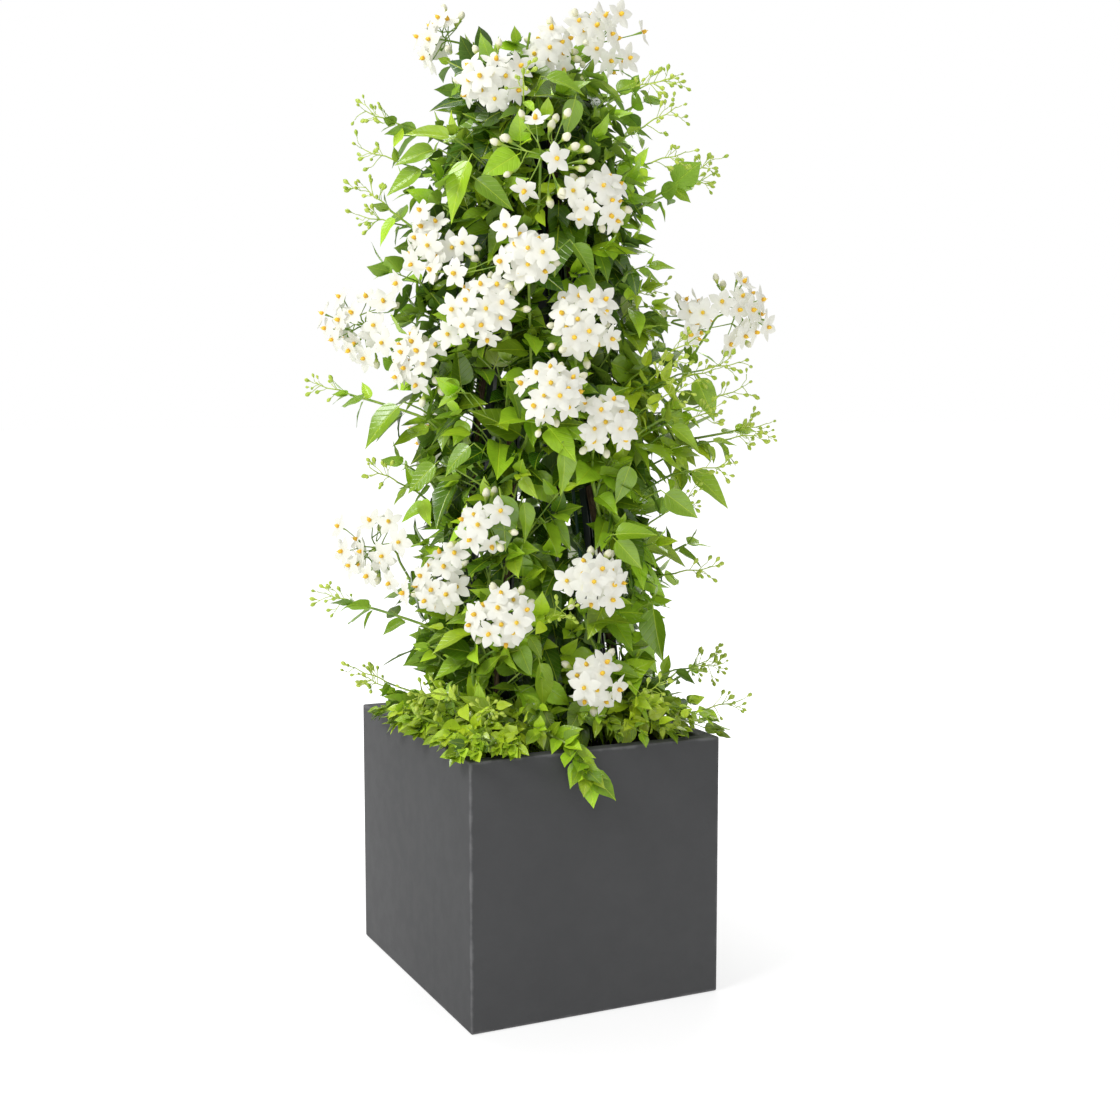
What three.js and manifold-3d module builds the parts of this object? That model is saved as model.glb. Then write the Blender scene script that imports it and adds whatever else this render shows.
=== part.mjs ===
// A potato vine in flower, climbing four leaning uprights in a square fibre-concrete planter.
// Millimetres, +Z up. The origin is the centre of the planter's underside, +X runs along the planter's
// narrow side and +Y along its deep side. The plant has its own show side, which is turned a little
// about the vertical against the planter, so the plant's pieces are laid out in a turned group:
// in that group +X is to the right of someone who looks at the show side, and -Y is towards them.
import * as THREE from "three";
import { mergeVertices } from "three/addons/utils/BufferGeometryUtils.js";
import Module from "manifold-3d";

const wasm = await Module();
wasm.setup();

// Planter and soil
const PLANTER_WIDTH = 300;
const PLANTER_DEPTH = 350;
const PLANTER_HEIGHT = 293;
const PLANTER_WALL = 18;
const PLANTER_FLOOR = 20;
const PLANTER_EDGE = 1.5;
const SOIL_TOP = 268;
const GAP = 0.3;
const SEAT_GAP = 0.9;

// How far the plant and its support are turned in the planter, and how deep they stand in the soil
const PLANT_TURN = THREE.MathUtils.degToRad(-25.3);
const ROOT_DEPTH = 70;

// Support: four channel-shaped uprights lean in to one point above the plant
const APEX_HEIGHT = 1100;
const FOOT_RADIUS = 98;
const UPRIGHT_TOP = 1018;
const UPRIGHT_WIDTH = 11;
const UPRIGHT_THICKNESS = 7;
const UPRIGHT_WALL = 2;
const UPRIGHT_AZIMUTHS = [45, 135, 225, 315].map((a) => THREE.MathUtils.degToRad(a) - PLANT_TURN);
const TIE_HEIGHT = 1002;
const TIE_WIRE = 1.3;
const CANE_RADIUS = 2;
const CANE_SIDES = 6;
const CANE_TOP = 930;
// Each cane runs beside an upright: which one, how far to the side, and how far behind it
const CANES = [
  { upright: 1, side: -17, back: 14 },
  { upright: 3, side: -12, back: -16 },
  { upright: 3, side: 17, back: 12 },
];

// Main stems: one weaves up the outer side of each upright
const STEM_TOP = 1030;
const STEM_FOOT_RADIUS = 3.4;
const STEM_TIP_RADIUS = 1.7;
const STEM_OFFSET = 11;
const STEM_SWING = 0.6;
const STEM_WEAVE = 330;
const STEM_STEPS = 11;
const STEM_SIDES = 5;

// Shoots, leaves, flowers and buds
const SHOOT_RADIUS = 2.1;
const BRANCH_RADIUS = 1.8;
const SHOOT_TIP_RADIUS = 1.5;
const SHOOT_SIDES = 3;
const SHOOT_STEPS = 4;
const END_RISE = 0.35;
const SHOOT_SEED = 10000;
const BRANCH_SEED = 2000;
// Where a blade's rows stand along it, as shares of its length: half its width there, and how far it droops
const LARGE_LEAF = {
  length: 64,
  spacing: 52,
  rows: [{ at: 0.34, half: 0.25, drop: 0.02 }, { at: 0.66, half: 0.2, drop: 0.1 }],
};
const SMALL_LEAF = {
  length: 37,
  spacing: 36,
  rows: [{ at: 0.42, half: 0.27, drop: 0.04 }],
};
const LEAF_TIP_DROP = 0.24;
const LEAF_KEEL = 1.3;
const LEAF_NECK = 0.8;
const FIRST_LEAF = 0.12;
const LEAF_TRIES = 5;
const TRY_TURN = 1.3;
const LEAF_CLEARANCE = 0.11;
const GOLDEN_ANGLE = THREE.MathUtils.degToRad(137.5);
const FLOWER_RADIUS = 17;
const NOTCH_RADIUS = 7.8;
const ANTHER_LENGTH = 3.4;
const BUD_RADIUS = 4.2;
const BUD_LENGTH = 10;
const GREEN_BUD_RADIUS = 2.6;
const GREEN_BUD_LENGTH = 8;
const STALK_RADIUS = 1.5;
const PEDICEL_RADIUS = 0.95;
const HEAD_DEPTH = 14;
const HEAD_STALK = 20;
const HUB_RADIUS = 4.2;
const STALK_LENGTH = 44;
const HEAD_ANGLE = THREE.MathUtils.degToRad(95);

const SHOW_SIDE = new THREE.Vector3(0, -1, 0);
const UP = new THREE.Vector3(0, 0, 1);

// Flower heads in the plant's own frame: centre, open flowers, buds, and the radius that they spread over.
// A head with a twin carries it on a fork of its own stalk.
const HEADS = {
  flower_head_01: { at: [-47, -100, 1008], flowers: 6, buds: 1, spread: 29 },
  flower_head_02: { at: [-109, 20, 1076], flowers: 5, buds: 2, spread: 28 },
  flower_head_03: {
    at: [80, -20, 1066],
    flowers: 7,
    buds: 1,
    spread: 33,
    twin: { at: [27, -58, 1051], flowers: 3, buds: 0, spread: 20 },
  },
  flower_head_04: { at: [14, -148, 924], flowers: 3, buds: 6, spread: 38 },
  flower_head_05: { at: [80, -120, 883], flowers: 5, buds: 2, spread: 25 },
  flower_head_06: { at: [-107, -80, 838], flowers: 5, buds: 1, spread: 29 },
  flower_head_07: {
    at: [-1, -160, 815],
    flowers: 5,
    buds: 1,
    spread: 27,
    twin: { at: [-50, -148, 766], flowers: 6, buds: 1, spread: 29 },
  },
  flower_head_08: { at: [62, -150, 747], flowers: 5, buds: 2, spread: 28 },
  flower_head_09: { at: [-200, -20, 753], flowers: 7, buds: 1, spread: 34 },
  flower_head_10: { at: [-126, -85, 706], flowers: 6, buds: 2, spread: 29 },
  flower_head_11: {
    at: [244, 0, 768],
    flowers: 6,
    buds: 2,
    spread: 33,
    twin: { at: [188, -28, 760], flowers: 2, buds: 1, spread: 20 },
  },
  flower_head_12: { at: [25, -170, 671], flowers: 6, buds: 1, spread: 29 },
  flower_head_13: { at: [86, -140, 638], flowers: 6, buds: 2, spread: 29 },
  flower_head_14: { at: [-188, -20, 499], flowers: 6, buds: 1, spread: 32 },
  flower_head_15: { at: [-111, -92, 465], flowers: 6, buds: 2, spread: 29 },
  flower_head_16: { at: [-55, -140, 535], flowers: 5, buds: 2, spread: 26 },
  flower_head_17: { at: [-31, -160, 436], flowers: 5, buds: 1, spread: 28 },
  flower_head_18: { at: [73, -140, 476], flowers: 5, buds: 1, spread: 27 },
  flower_head_19: { at: [73, -148, 366], flowers: 5, buds: 1, spread: 24 },
  flower_head_20: { at: [62, 150, 480], flowers: 4, buds: 1, spread: 27 },
  flower_head_21: { at: [20, 160, 690], flowers: 4, buds: 1, spread: 27 },
  flower_head_22: { at: [72, 130, 880], flowers: 4, buds: 1, spread: 27 },
  flower_head_23: { at: [-125, 118, 620], flowers: 4, buds: 1, spread: 27 },
};

// Leafy shoots: the main stem and height that each springs from, where its axis and side branches end
// (a point, with the slope there if it droops, or the head that sits there), and which of them end in a
// spray of small green buds.
const SHOOTS = {
  shoot_01: { stem: 2, from: 330, ends: ["flower_head_16", "flower_head_17"] },
  shoot_02: { stem: 2, from: 600, ends: ["flower_head_07", "flower_head_12"] },
  shoot_03: { stem: 2, from: 800, ends: ["flower_head_04", [-105, -95, 905]] },
  shoot_04: { stem: 2, from: 900, ends: ["flower_head_01", [0, -65, 1062]] },
  shoot_05: { stem: 1, from: 330, ends: ["flower_head_15", "flower_head_14", [-205, 0, 430]], sprays: [2] },
  shoot_06: { stem: 1, from: 560, ends: ["flower_head_10", "flower_head_09", [-205, -30, 672]], sprays: [2] },
  shoot_07: { stem: 1, from: 700, ends: ["flower_head_06", [-160, 0, 880]], sprays: [1] },
  shoot_08: { stem: 1, from: 880, ends: ["flower_head_02", [-150, -5, 975]], sprays: [1] },
  shoot_09: { stem: 3, from: 330, ends: ["flower_head_18", "flower_head_19", [178, -10, 500]] },
  shoot_10: { stem: 3, from: 520, ends: ["flower_head_13", "flower_head_08", [165, -70, 655]] },
  shoot_11: { stem: 3, from: 560, ends: ["flower_head_11", [232, 0, 630], [176, -25, 585]], sprays: [1] },
  shoot_12: { stem: 3, from: 730, ends: ["flower_head_05", [172, 0, 914]], sprays: [1] },
  shoot_13: { stem: 3, from: 880, ends: ["flower_head_03", [125, 0, 1000]] },
  shoot_14: { stem: 0, from: 330, ends: ["flower_head_20", [-85, 110, 420], [140, 72, 500]] },
  shoot_15: { stem: 0, from: 540, ends: ["flower_head_21", [115, 110, 670], [145, 75, 755]] },
  shoot_16: { stem: 0, from: 740, ends: ["flower_head_22", [-75, 115, 860], [10, 70, 1050]] },
  shoot_17: { stem: 1, from: 470, ends: ["flower_head_23", [-150, 40, 590], [-75, 120, 720]] },
  low_shoot_1: { stem: 1, from: 292, ends: [[-160, 10, 322], [-145, -60, 316]], sprays: [0], low: true },
  low_shoot_2: {
    stem: 2,
    from: 288,
    ends: [[-80, -165, 312], [-120, -110, 318], [-30, -185, 310]],
    low: true,
  },
  low_shoot_3: { stem: 2, from: 314, ends: [[60, -192, 278, -1.3], [10, -168, 318]], low: true },
  low_shoot_4: { stem: 3, from: 290, ends: [[178, -50, 322], [110, -115, 316]], low: true },
  low_shoot_5: { stem: 3, from: 302, ends: [[186, 30, 345], [120, 40, 330]], sprays: [0], low: true },
  low_shoot_6: { stem: 0, from: 290, ends: [[60, 155, 322], [-70, 130, 318], [125, 90, 325]], low: true },
};

// Seeded numbers from 0 to 1: the same seed always gives the same row of them.
function draws(seed) {
  const wrap = 4294967296;
  let state = (seed * 2654435761) % wrap;
  const next = () => {
    state = (state * 1664525 + 1013904223) % wrap;
    return state / wrap;
  };
  next();
  next();
  return next;
}

const vec = (x, y, z) => new THREE.Vector3(x, y, z);
const mix = (a, b, t) => a.clone().lerp(b, t);
const along = (p, d, s) => p.clone().addScaledVector(d, s);

// A unit vector square to d that lies nearest to the wish.
function squareTo(d, wish) {
  const s = along(wish, d, -wish.dot(d));
  return s.length() > 1e-3 ? s.normalize() : squareTo(d, vec(1, 0.3, 0.2));
}

// A closed skin over a row of rings. A ring of one point is a tip, and a first or last ring of more points
// gets a flat cap.
function skin(rings) {
  const points = rings.flat();
  const starts = rings.map((_, i) => rings.slice(0, i).reduce((sum, r) => sum + r.length, 0));
  const faces = [];
  for (let r = 0; r + 1 < rings.length; r += 1) {
    const [n, m] = [rings[r].length, rings[r + 1].length];
    const a = (i) => starts[r] + (i % n);
    const b = (j) => starts[r + 1] + (j % m);
    let [i, j] = [0, 0];
    while (i < n || j < m) {
      if (j >= m || (i < n && (i + 1) * m <= (j + 1) * n)) {
        if (n > 1) faces.push([a(i), a(i + 1), b(j)]);
        i += 1;
      } else {
        if (m > 1) faces.push([a(i), b(j + 1), b(j)]);
        j += 1;
      }
    }
  }
  for (let k = 1; k + 1 < rings[0].length; k += 1) faces.push([0, k + 1, k]);
  const last = starts.at(-1);
  for (let k = 1; k + 1 < rings.at(-1).length; k += 1) faces.push([last, last + k, last + k + 1]);
  return solid(points, faces);
}

// A solid from points and triangles, turned right side out.
function solid(points, faces) {
  const wedge = ([a, b, c]) => points[a].dot(points[b].clone().cross(points[c]));
  const volume = faces.reduce((sum, face) => sum + wedge(face), 0);
  const triVerts = new Uint32Array(faces.flatMap(([a, b, c]) => (volume < 0 ? [a, c, b] : [a, b, c])));
  const vertProperties = new Float32Array(points.flatMap((p) => [p.x, p.y, p.z]));
  return new wasm.Manifold(new wasm.Mesh({ numProp: 3, vertProperties, triVerts }));
}

function solidOf(geometry) {
  const bare = geometry.clone();
  bare.deleteAttribute("normal");
  bare.deleteAttribute("uv");
  const merged = mergeVertices(bare, 1e-4);
  return new wasm.Manifold(
    new wasm.Mesh({
      numProp: 3,
      vertProperties: merged.attributes.position.array,
      triVerts: new Uint32Array(merged.index.array),
    }),
  );
}

function geometryOf(body) {
  const made = body.getMesh();
  const geometry = new THREE.BufferGeometry();
  geometry.setAttribute("position", new THREE.BufferAttribute(made.vertProperties, 3));
  geometry.setIndex(new THREE.BufferAttribute(made.triVerts, 1));
  geometry.computeVertexNormals();
  return geometry;
}

// A ring of points round a centre, square to a direction.
function ring(centre, direction, wish, radius, sides, turn = 0) {
  const u = squareTo(direction, wish);
  const v = direction.clone().cross(u);
  return Array.from({ length: sides }, (_, i) => {
    const angle = turn + (2 * Math.PI * i) / sides;
    return along(along(centre, u, radius * Math.cos(angle)), v, radius * Math.sin(angle));
  });
}

function directionAt(path, i) {
  const ahead = path[Math.min(i + 1, path.length - 1)];
  return ahead.clone().sub(path[Math.max(i - 1, 0)]).normalize();
}

// A tapering closed tube along a path.
function tube(path, footRadius, tipRadius, sides) {
  let wish = vec(0.3, 0.5, 1);
  const rings = path.map((p, i) => {
    const d = directionAt(path, i);
    wish = squareTo(d, wish);
    return ring(p, d, wish, footRadius + ((tipRadius - footRadius) * i) / (path.length - 1), sides);
  });
  return skin(rings);
}

// A point of a path, given as a share of its steps.
function pointOn(path, share) {
  const place = Math.min(Math.max(share, 0), 0.9999) * (path.length - 1);
  const i = Math.floor(place);
  return mix(path[i], path[i + 1], place - i);
}

function arc(a, b, c, d, steps) {
  return Array.from({ length: steps + 1 }, (_, i) => {
    const t = i / steps;
    const [ab, bc, cd] = [mix(a, b, t), mix(b, c, t), mix(c, d, t)];
    return mix(mix(ab, bc, t), mix(bc, cd, t), t);
  });
}

// Support
const uprightSpread = (z) => (FOOT_RADIUS * (APEX_HEIGHT - z)) / (APEX_HEIGHT - SOIL_TOP);
const outward = (azimuth) => vec(Math.cos(azimuth), Math.sin(azimuth), 0);
const uprightPoint = (azimuth, z) => outward(azimuth).multiplyScalar(uprightSpread(z)).setZ(z);

// The channel's section from its middle: a floor towards the axis and two flanges that point outwards.
function channelSection(grow) {
  const w = UPRIGHT_WIDTH / 2 + grow;
  const t = UPRIGHT_THICKNESS / 2 + grow;
  const inner = w - UPRIGHT_WALL - 2 * grow;
  return [[-t, -w], [t, -w], [t, -inner], [UPRIGHT_WALL - t + 2 * grow, -inner],
    [UPRIGHT_WALL - t + 2 * grow, inner], [t, inner], [t, w], [-t, w]];
}

function uprightSolid(azimuth, from, section) {
  const foot = uprightPoint(azimuth, from);
  const top = uprightPoint(azimuth, UPRIGHT_TOP);
  const side = vec(-Math.sin(azimuth), Math.cos(azimuth), 0);
  const shape = new THREE.Shape(section.map(([x, y]) => new THREE.Vector2(x, y)));
  const bar = new THREE.ExtrudeGeometry(shape, { depth: foot.distanceTo(top), bevelEnabled: false });
  const axis = top.clone().sub(foot).normalize();
  const frame = new THREE.Matrix4().makeBasis(side.clone().cross(axis), side, axis).setPosition(foot);
  return solidOf(bar.applyMatrix4(frame));
}

const boxSection = [[-1, -1], [1, -1], [1, 1], [-1, 1]].map(([x, y]) => [
  x * (UPRIGHT_THICKNESS / 2 + GAP),
  y * (UPRIGHT_WIDTH / 2 + GAP),
]);

function canePath({ upright, side, back }, from) {
  const at = (z) => uprightPoint(UPRIGHT_AZIMUTHS[upright], z).add(vec(side, back, 0));
  return [at(from), at(CANE_TOP)];
}

function tieSolid() {
  const spread = uprightSpread(TIE_HEIGHT);
  const corner = Math.hypot(spread + UPRIGHT_THICKNESS / 2, UPRIGHT_WIDTH / 2);
  const middle = corner + 2 * GAP + TIE_WIRE;
  const profile = Array.from({ length: 5 }, (_, i) => {
    const angle = (Math.PI * i) / 2;
    return new THREE.Vector2(middle + TIE_WIRE * Math.cos(angle), TIE_WIRE * Math.sin(angle));
  });
  const hoop = new THREE.LatheGeometry(profile, 12).rotateX(Math.PI / 2).translate(0, 0, TIE_HEIGHT);
  return solidOf(hoop);
}

// Main stems
const STEM_PATHS = UPRIGHT_AZIMUTHS.map((azimuth, k) =>
  Array.from({ length: STEM_STEPS + 1 }, (_, i) => {
    const z = SOIL_TOP - ROOT_DEPTH + ((STEM_TOP - SOIL_TOP + ROOT_DEPTH) * i) / STEM_STEPS;
    const weave = azimuth + STEM_SWING * Math.sin((2 * Math.PI * z) / STEM_WEAVE + 1.9 * k);
    return along(uprightPoint(azimuth, z), outward(weave), STEM_OFFSET);
  }),
);
const stemShare = (z) => (z - SOIL_TOP + ROOT_DEPTH) / (STEM_TOP - SOIL_TOP + ROOT_DEPTH);
const stemRadius = (share) => STEM_FOOT_RADIUS + (STEM_TIP_RADIUS - STEM_FOOT_RADIUS) * share;

// What already stands where, as small balls that each belong to a piece.
const taken = [];

function take(owner, centre, radius) {
  taken.push({ owner, centre, radius });
}

function takePath(owner, path, radius) {
  for (let i = 0; i + 1 < path.length; i += 1) {
    const steps = Math.ceil(path[i].distanceTo(path[i + 1]) / 6);
    for (let s = 0; s <= steps; s += 1) take(owner, mix(path[i], path[i + 1], s / steps), radius);
  }
}

function clear(owner, points, radius) {
  return taken.every((ball) => {
    if (ball.owner === owner) return true;
    const apart = (ball.radius + radius) ** 2;
    return points.every((p) => p.distanceToSquared(ball.centre) > apart);
  });
}

// Whether a blade stays above the soil and the rim, or outside the planter.
function abovePlanter(points, radius) {
  return points.every((p) => {
    const q = p.clone().applyAxisAngle(UP, PLANT_TURN);
    const past = Math.max(Math.abs(q.x) - PLANTER_WIDTH / 2, Math.abs(q.y) - PLANTER_DEPTH / 2);
    if (past > radius) return true;
    return p.z > (past < -PLANTER_WALL - radius ? SOIL_TOP : PLANTER_HEIGHT) + 0.8 * radius;
  });
}

// Leaves
function leafPoint(leaf, forward, across, lift) {
  const p = along(leaf.root, leaf.along, forward * leaf.length);
  return along(along(p, leaf.side, across * leaf.length), leaf.normal, lift * leaf.length);
}

// A blade: each row across it has two edges and a keel under its middle, and it ends in a point.
function leafSolid(leaf, rows) {
  const neck = LEAF_NECK / leaf.length;
  const keel = LEAF_KEEL / leaf.length;
  const row = (at, half, drop) => {
    const lift = leaf.fold * half - drop * leaf.curl;
    const under = -drop * leaf.curl - keel;
    return [[-half, lift], [half, lift], [0, under]].map(([y, z]) => leafPoint(leaf, at, y, z));
  };
  const rings = rows.map(({ at, half, drop }) => row(at, half, drop));
  return skin([row(0, neck, 0), ...rings, [leafPoint(leaf, 1, 0, -LEAF_TIP_DROP * leaf.curl)]]);
}

// Points that stand for a blade where its clearance is tested: how far along it, and how far to each side.
const LEAF_SAMPLES = [[0.22, 0.08], [0.45, 0.17], [0.68, 0.17], [0.92, 0.03]];

function leafSamples(leaf) {
  return LEAF_SAMPLES.flatMap(([s, w]) =>
    [-w, w].map((y) => leafPoint(leaf, s, y, leaf.fold * w - LEAF_TIP_DROP * leaf.curl * s * s)),
  );
}

// A leaf at a point of a shoot: it reaches out from the shoot and away from the plant, and faces the light.
function leafAt(root, direction, turn, length, random) {
  const out = squareTo(UP, vec(root.x, root.y, 0.001));
  const beside = squareTo(direction, UP).applyAxisAngle(direction, turn);
  const reach = along(along(beside, out, 0.55), direction, 0.35);
  reach.z += -0.35 + 0.5 * random();
  const lengthwise = reach.normalize();
  const light = along(along(vec(0, 0, 0.75), out, 0.7), beside, 0.2 * (random() - 0.5));
  const normal = squareTo(lengthwise, light);
  return {
    root,
    along: lengthwise,
    normal,
    side: normal.clone().cross(lengthwise),
    length: length * (0.8 + 0.4 * random()),
    fold: 0.05 + 0.15 * random(),
    curl: 0.3 + 0.9 * random(),
  };
}

// Leaves stand along a shoot's axis. One that would meet another leaf or piece is turned round the shoot,
// and left out where no turn is clear.
function leavesAlong(owner, path, seed, kind) {
  const random = draws(seed);
  const length = path.slice(1).reduce((sum, p, i) => sum + p.distanceTo(path[i]), 0);
  const count = Math.max(2, Math.round(length / kind.spacing));
  const leaves = [];
  for (let j = 0; j < count; j += 1) {
    const share = FIRST_LEAF + ((1 - FIRST_LEAF) * (j + 0.3 + 0.4 * random())) / count;
    const root = pointOn(path, share);
    const direction = pointOn(path, share + 0.02).sub(root).normalize();
    const size = kind.length * (1.12 - 0.4 * share);
    for (let attempt = 0; attempt < LEAF_TRIES; attempt += 1) {
      const turn = j * GOLDEN_ANGLE + attempt * TRY_TURN;
      const leaf = leafAt(root, direction, turn, size, draws(seed + 100 * (j + 1) + attempt));
      const samples = leafSamples(leaf);
      const reach = LEAF_CLEARANCE * leaf.length;
      if (clear(owner, samples, reach) && abovePlanter(samples, reach)) {
        samples.forEach((p) => take(`${owner} leaf`, p, reach));
        leaves.push(leafSolid(leaf, kind.rows));
        break;
      }
    }
  }
  return leaves;
}

// A bud: an egg on a thin stalk.
function budSolid(root, centre, direction, radius, length, sides) {
  const away = centre.clone().sub(root).normalize();
  return skin([
    ring(root, away, UP, PEDICEL_RADIUS, 3),
    ring(along(centre, direction, 0.05 * length), away, UP, radius, sides),
    [along(centre, direction, 0.58 * length)],
  ]);
}

// A star of five petals with its cone of anthers, on its stalk.
function flowerSolid(root, centre, normal, turn) {
  const away = centre.clone().sub(root).normalize();
  const u = squareTo(normal, UP);
  const v = normal.clone().cross(u);
  const star = Array.from({ length: 10 }, (_, i) => {
    const radius = i % 2 ? NOTCH_RADIUS : FLOWER_RADIUS;
    const angle = turn + (Math.PI * i) / 5;
    const p = along(along(centre, u, radius * Math.cos(angle)), v, radius * Math.sin(angle));
    return along(p, normal, i % 2 ? 0 : -1.5);
  });
  return skin([
    ring(root, away, UP, PEDICEL_RADIUS, 3),
    ring(along(centre, normal, -2), away, UP, PEDICEL_RADIUS, 3),
    star,
    [along(centre, normal, ANTHER_LENGTH)],
  ]);
}

// Flower heads: which way each faces, where its stalk starts, and where its flowers and buds stand on
// its dome.
function headFrame(head) {
  const centre = vec(...head.at);
  const out = vec(centre.x, centre.y, 0).normalize();
  const showing = centre.y < 40 ? 0.45 : 0;
  const facing = along(along(out, SHOW_SIDE, showing), UP, 0.22).normalize();
  const hub = along(centre, facing, -HEAD_DEPTH);
  const reach = head.twin ? STALK_LENGTH + 12 : STALK_LENGTH;
  const foot = along(along(hub, facing, -0.75 * reach), UP, -0.5 * reach);
  return { centre, facing, hub, foot };
}

function headPlaces(head, frame, seed) {
  const random = draws(seed);
  const side = squareTo(frame.facing, UP);
  const over = frame.facing.clone().cross(side);
  const total = head.flowers + head.buds;
  const start = 2 * Math.PI * random();
  return Array.from({ length: total }, (_, i) => {
    const open = i < head.flowers;
    const share = open ? (i + 0.45) / head.flowers : 0.75 + (0.5 * (i - head.flowers + 0.5)) / head.buds;
    const tilt = Math.acos(1 - Math.min(share, 1.25) * (1 - Math.cos(HEAD_ANGLE)));
    const angle = start + i * GOLDEN_ANGLE + 0.3 * random();
    const layer = head.spread + 5 * ((i % 3) - 1) + (open ? 0 : 3);
    const radial = side.clone().multiplyScalar(Math.cos(angle)).addScaledVector(over, Math.sin(angle));
    const d = frame.facing.clone().multiplyScalar(Math.cos(tilt)).addScaledVector(radial, Math.sin(tilt));
    return {
      open,
      centre: along(frame.hub, d, layer),
      normal: along(d.clone().multiplyScalar(0.85), frame.facing, 0.15).normalize(),
      root: along(frame.hub, frame.facing, -0.02 * i),
      turn: 0.6 * (random() - 0.5),
    };
  });
}

function headPath({ foot, hub, facing }) {
  const neck = along(hub, facing, -HEAD_STALK);
  return [foot, along(mix(foot, neck, 0.5), UP, -1.5), neck, hub];
}

// A head's stalk, the knob at its end, and the flowers and buds that spread from the knob.
function headSolids(head, frame, seed, path) {
  const knob = new THREE.OctahedronGeometry(HUB_RADIUS).translate(...frame.hub.toArray());
  const crown = headPlaces(head, frame, seed).map((place) =>
    place.open
      ? flowerSolid(place.root, place.centre, place.normal, place.turn)
      : budSolid(place.root, place.centre, place.normal, BUD_RADIUS, BUD_LENGTH, 4),
  );
  return [tube(path, STALK_RADIUS, STALK_RADIUS, SHOOT_SIDES), solidOf(knob), ...crown];
}

function takeHead(name, head, frame, seed) {
  headPlaces(head, frame, seed).forEach((place) => {
    take(name, place.centre, place.open ? 11 : 5);
    takePath(name, [place.root, place.centre], 1.5);
    if (place.open) take(name, along(place.centre, place.normal, 3), 8);
  });
  takePath(name, headPath(frame), 2);
}

const fuse = (solids) => solids.reduce((sum, s) => sum.add(s));

// The pieces of the plant, from the ones that hold to the ones that are held.
const plant = new THREE.Group();
plant.rotation.z = PLANT_TURN;

function addPiece(group, name, body, colour, roughness) {
  const material = new THREE.MeshStandardMaterial({ color: colour, roughness, metalness: 0 });
  const mesh = new THREE.Mesh(geometryOf(body), material);
  mesh.name = name;
  group.add(mesh);
}

const COLOURS = {
  upright: "#101713",
  cane: "#0f4a33",
  stem: "#5d4a2b",
  leaf: "#4d8f1f",
  petal: "#f4f3ec",
  planter: "#55565a",
  soil: "#2b2018",
};
const holes = [];

UPRIGHT_AZIMUTHS.forEach((azimuth, k) => {
  const from = SOIL_TOP - ROOT_DEPTH;
  addPiece(plant, `upright_${k + 1}`, uprightSolid(azimuth, from, channelSection(0)), COLOURS.upright, 0.5);
  holes.push(uprightSolid(azimuth, from - GAP, boxSection));
  takePath(`upright_${k + 1}`, [uprightPoint(azimuth, SOIL_TOP), uprightPoint(azimuth, UPRIGHT_TOP)], 7);
});
CANES.forEach((cane, k) => {
  const foot = SOIL_TOP - ROOT_DEPTH;
  const rod = tube(canePath(cane, foot), CANE_RADIUS, CANE_RADIUS, CANE_SIDES);
  addPiece(plant, `cane_${k + 1}`, rod, COLOURS.cane, 0.4);
  const hole = CANE_RADIUS + 1.5 * GAP;
  holes.push(tube(canePath(cane, foot - GAP), hole, hole, CANE_SIDES));
  takePath(`cane_${k + 1}`, canePath(cane, SOIL_TOP), CANE_RADIUS + 0.5);
});
addPiece(plant, "tie", tieSolid(), COLOURS.cane, 0.4);

STEM_PATHS.forEach((path, k) => {
  const stem = tube(path, STEM_FOOT_RADIUS, STEM_TIP_RADIUS, STEM_SIDES);
  addPiece(plant, `stem_${k + 1}`, stem, COLOURS.stem, 0.8);
  const deeper = [along(path[0], UP, -GAP), ...path.slice(1, 3)];
  holes.push(tube(deeper, STEM_FOOT_RADIUS + 1.3 * GAP, STEM_FOOT_RADIUS + 0.6 * GAP, STEM_SIDES));
  takePath(`stem_${k + 1}`, path, 3.5);
});

const frames = {};
Object.entries(HEADS).forEach(([name, head], i) => {
  frames[name] = headFrame(head);
  takeHead(name, head, frames[name], i + 1);
  if (head.twin) {
    frames[name].twin = headFrame(head.twin);
    takeHead(name, head.twin, frames[name].twin, i + 101);
  }
});

// Where a shoot's axis springs from its main stem: the stem's surface, on the side of the shoot's end.
function shootFoot({ stem, from }, goal) {
  const share = stemShare(from);
  const centre = pointOn(STEM_PATHS[stem], share);
  const azimuth = UPRIGHT_AZIMUTHS[stem];
  const aim = Math.atan2(goal.y - centre.y, goal.x - centre.x);
  let off = aim - azimuth;
  off -= 2 * Math.PI * Math.round(off / (2 * Math.PI));
  const side = outward(azimuth + Math.min(Math.max(off, -0.9), 0.9));
  return { foot: along(centre, side, 0.6 * stemRadius(share)), side };
}

// A main stem with its running gap, which a shoot's foot is cut to.
const stemSleeve = (k) =>
  tube(STEM_PATHS[k], STEM_FOOT_RADIUS + 1.3 * GAP, STEM_TIP_RADIUS + 1.3 * GAP, STEM_SIDES);

const endPoint = (end) => (typeof end === "string" ? frames[end].foot : vec(end[0], end[1], end[2]));

// A shoot rises a little at its end, or droops there if the end has a slope of its own.
function endDirection(end, point) {
  if (typeof end === "string") return directionAt(headPath(frames[end]), 0);
  return along(vec(point.x, point.y, 0).normalize(), UP, end[3] ?? END_RISE).normalize();
}

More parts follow.
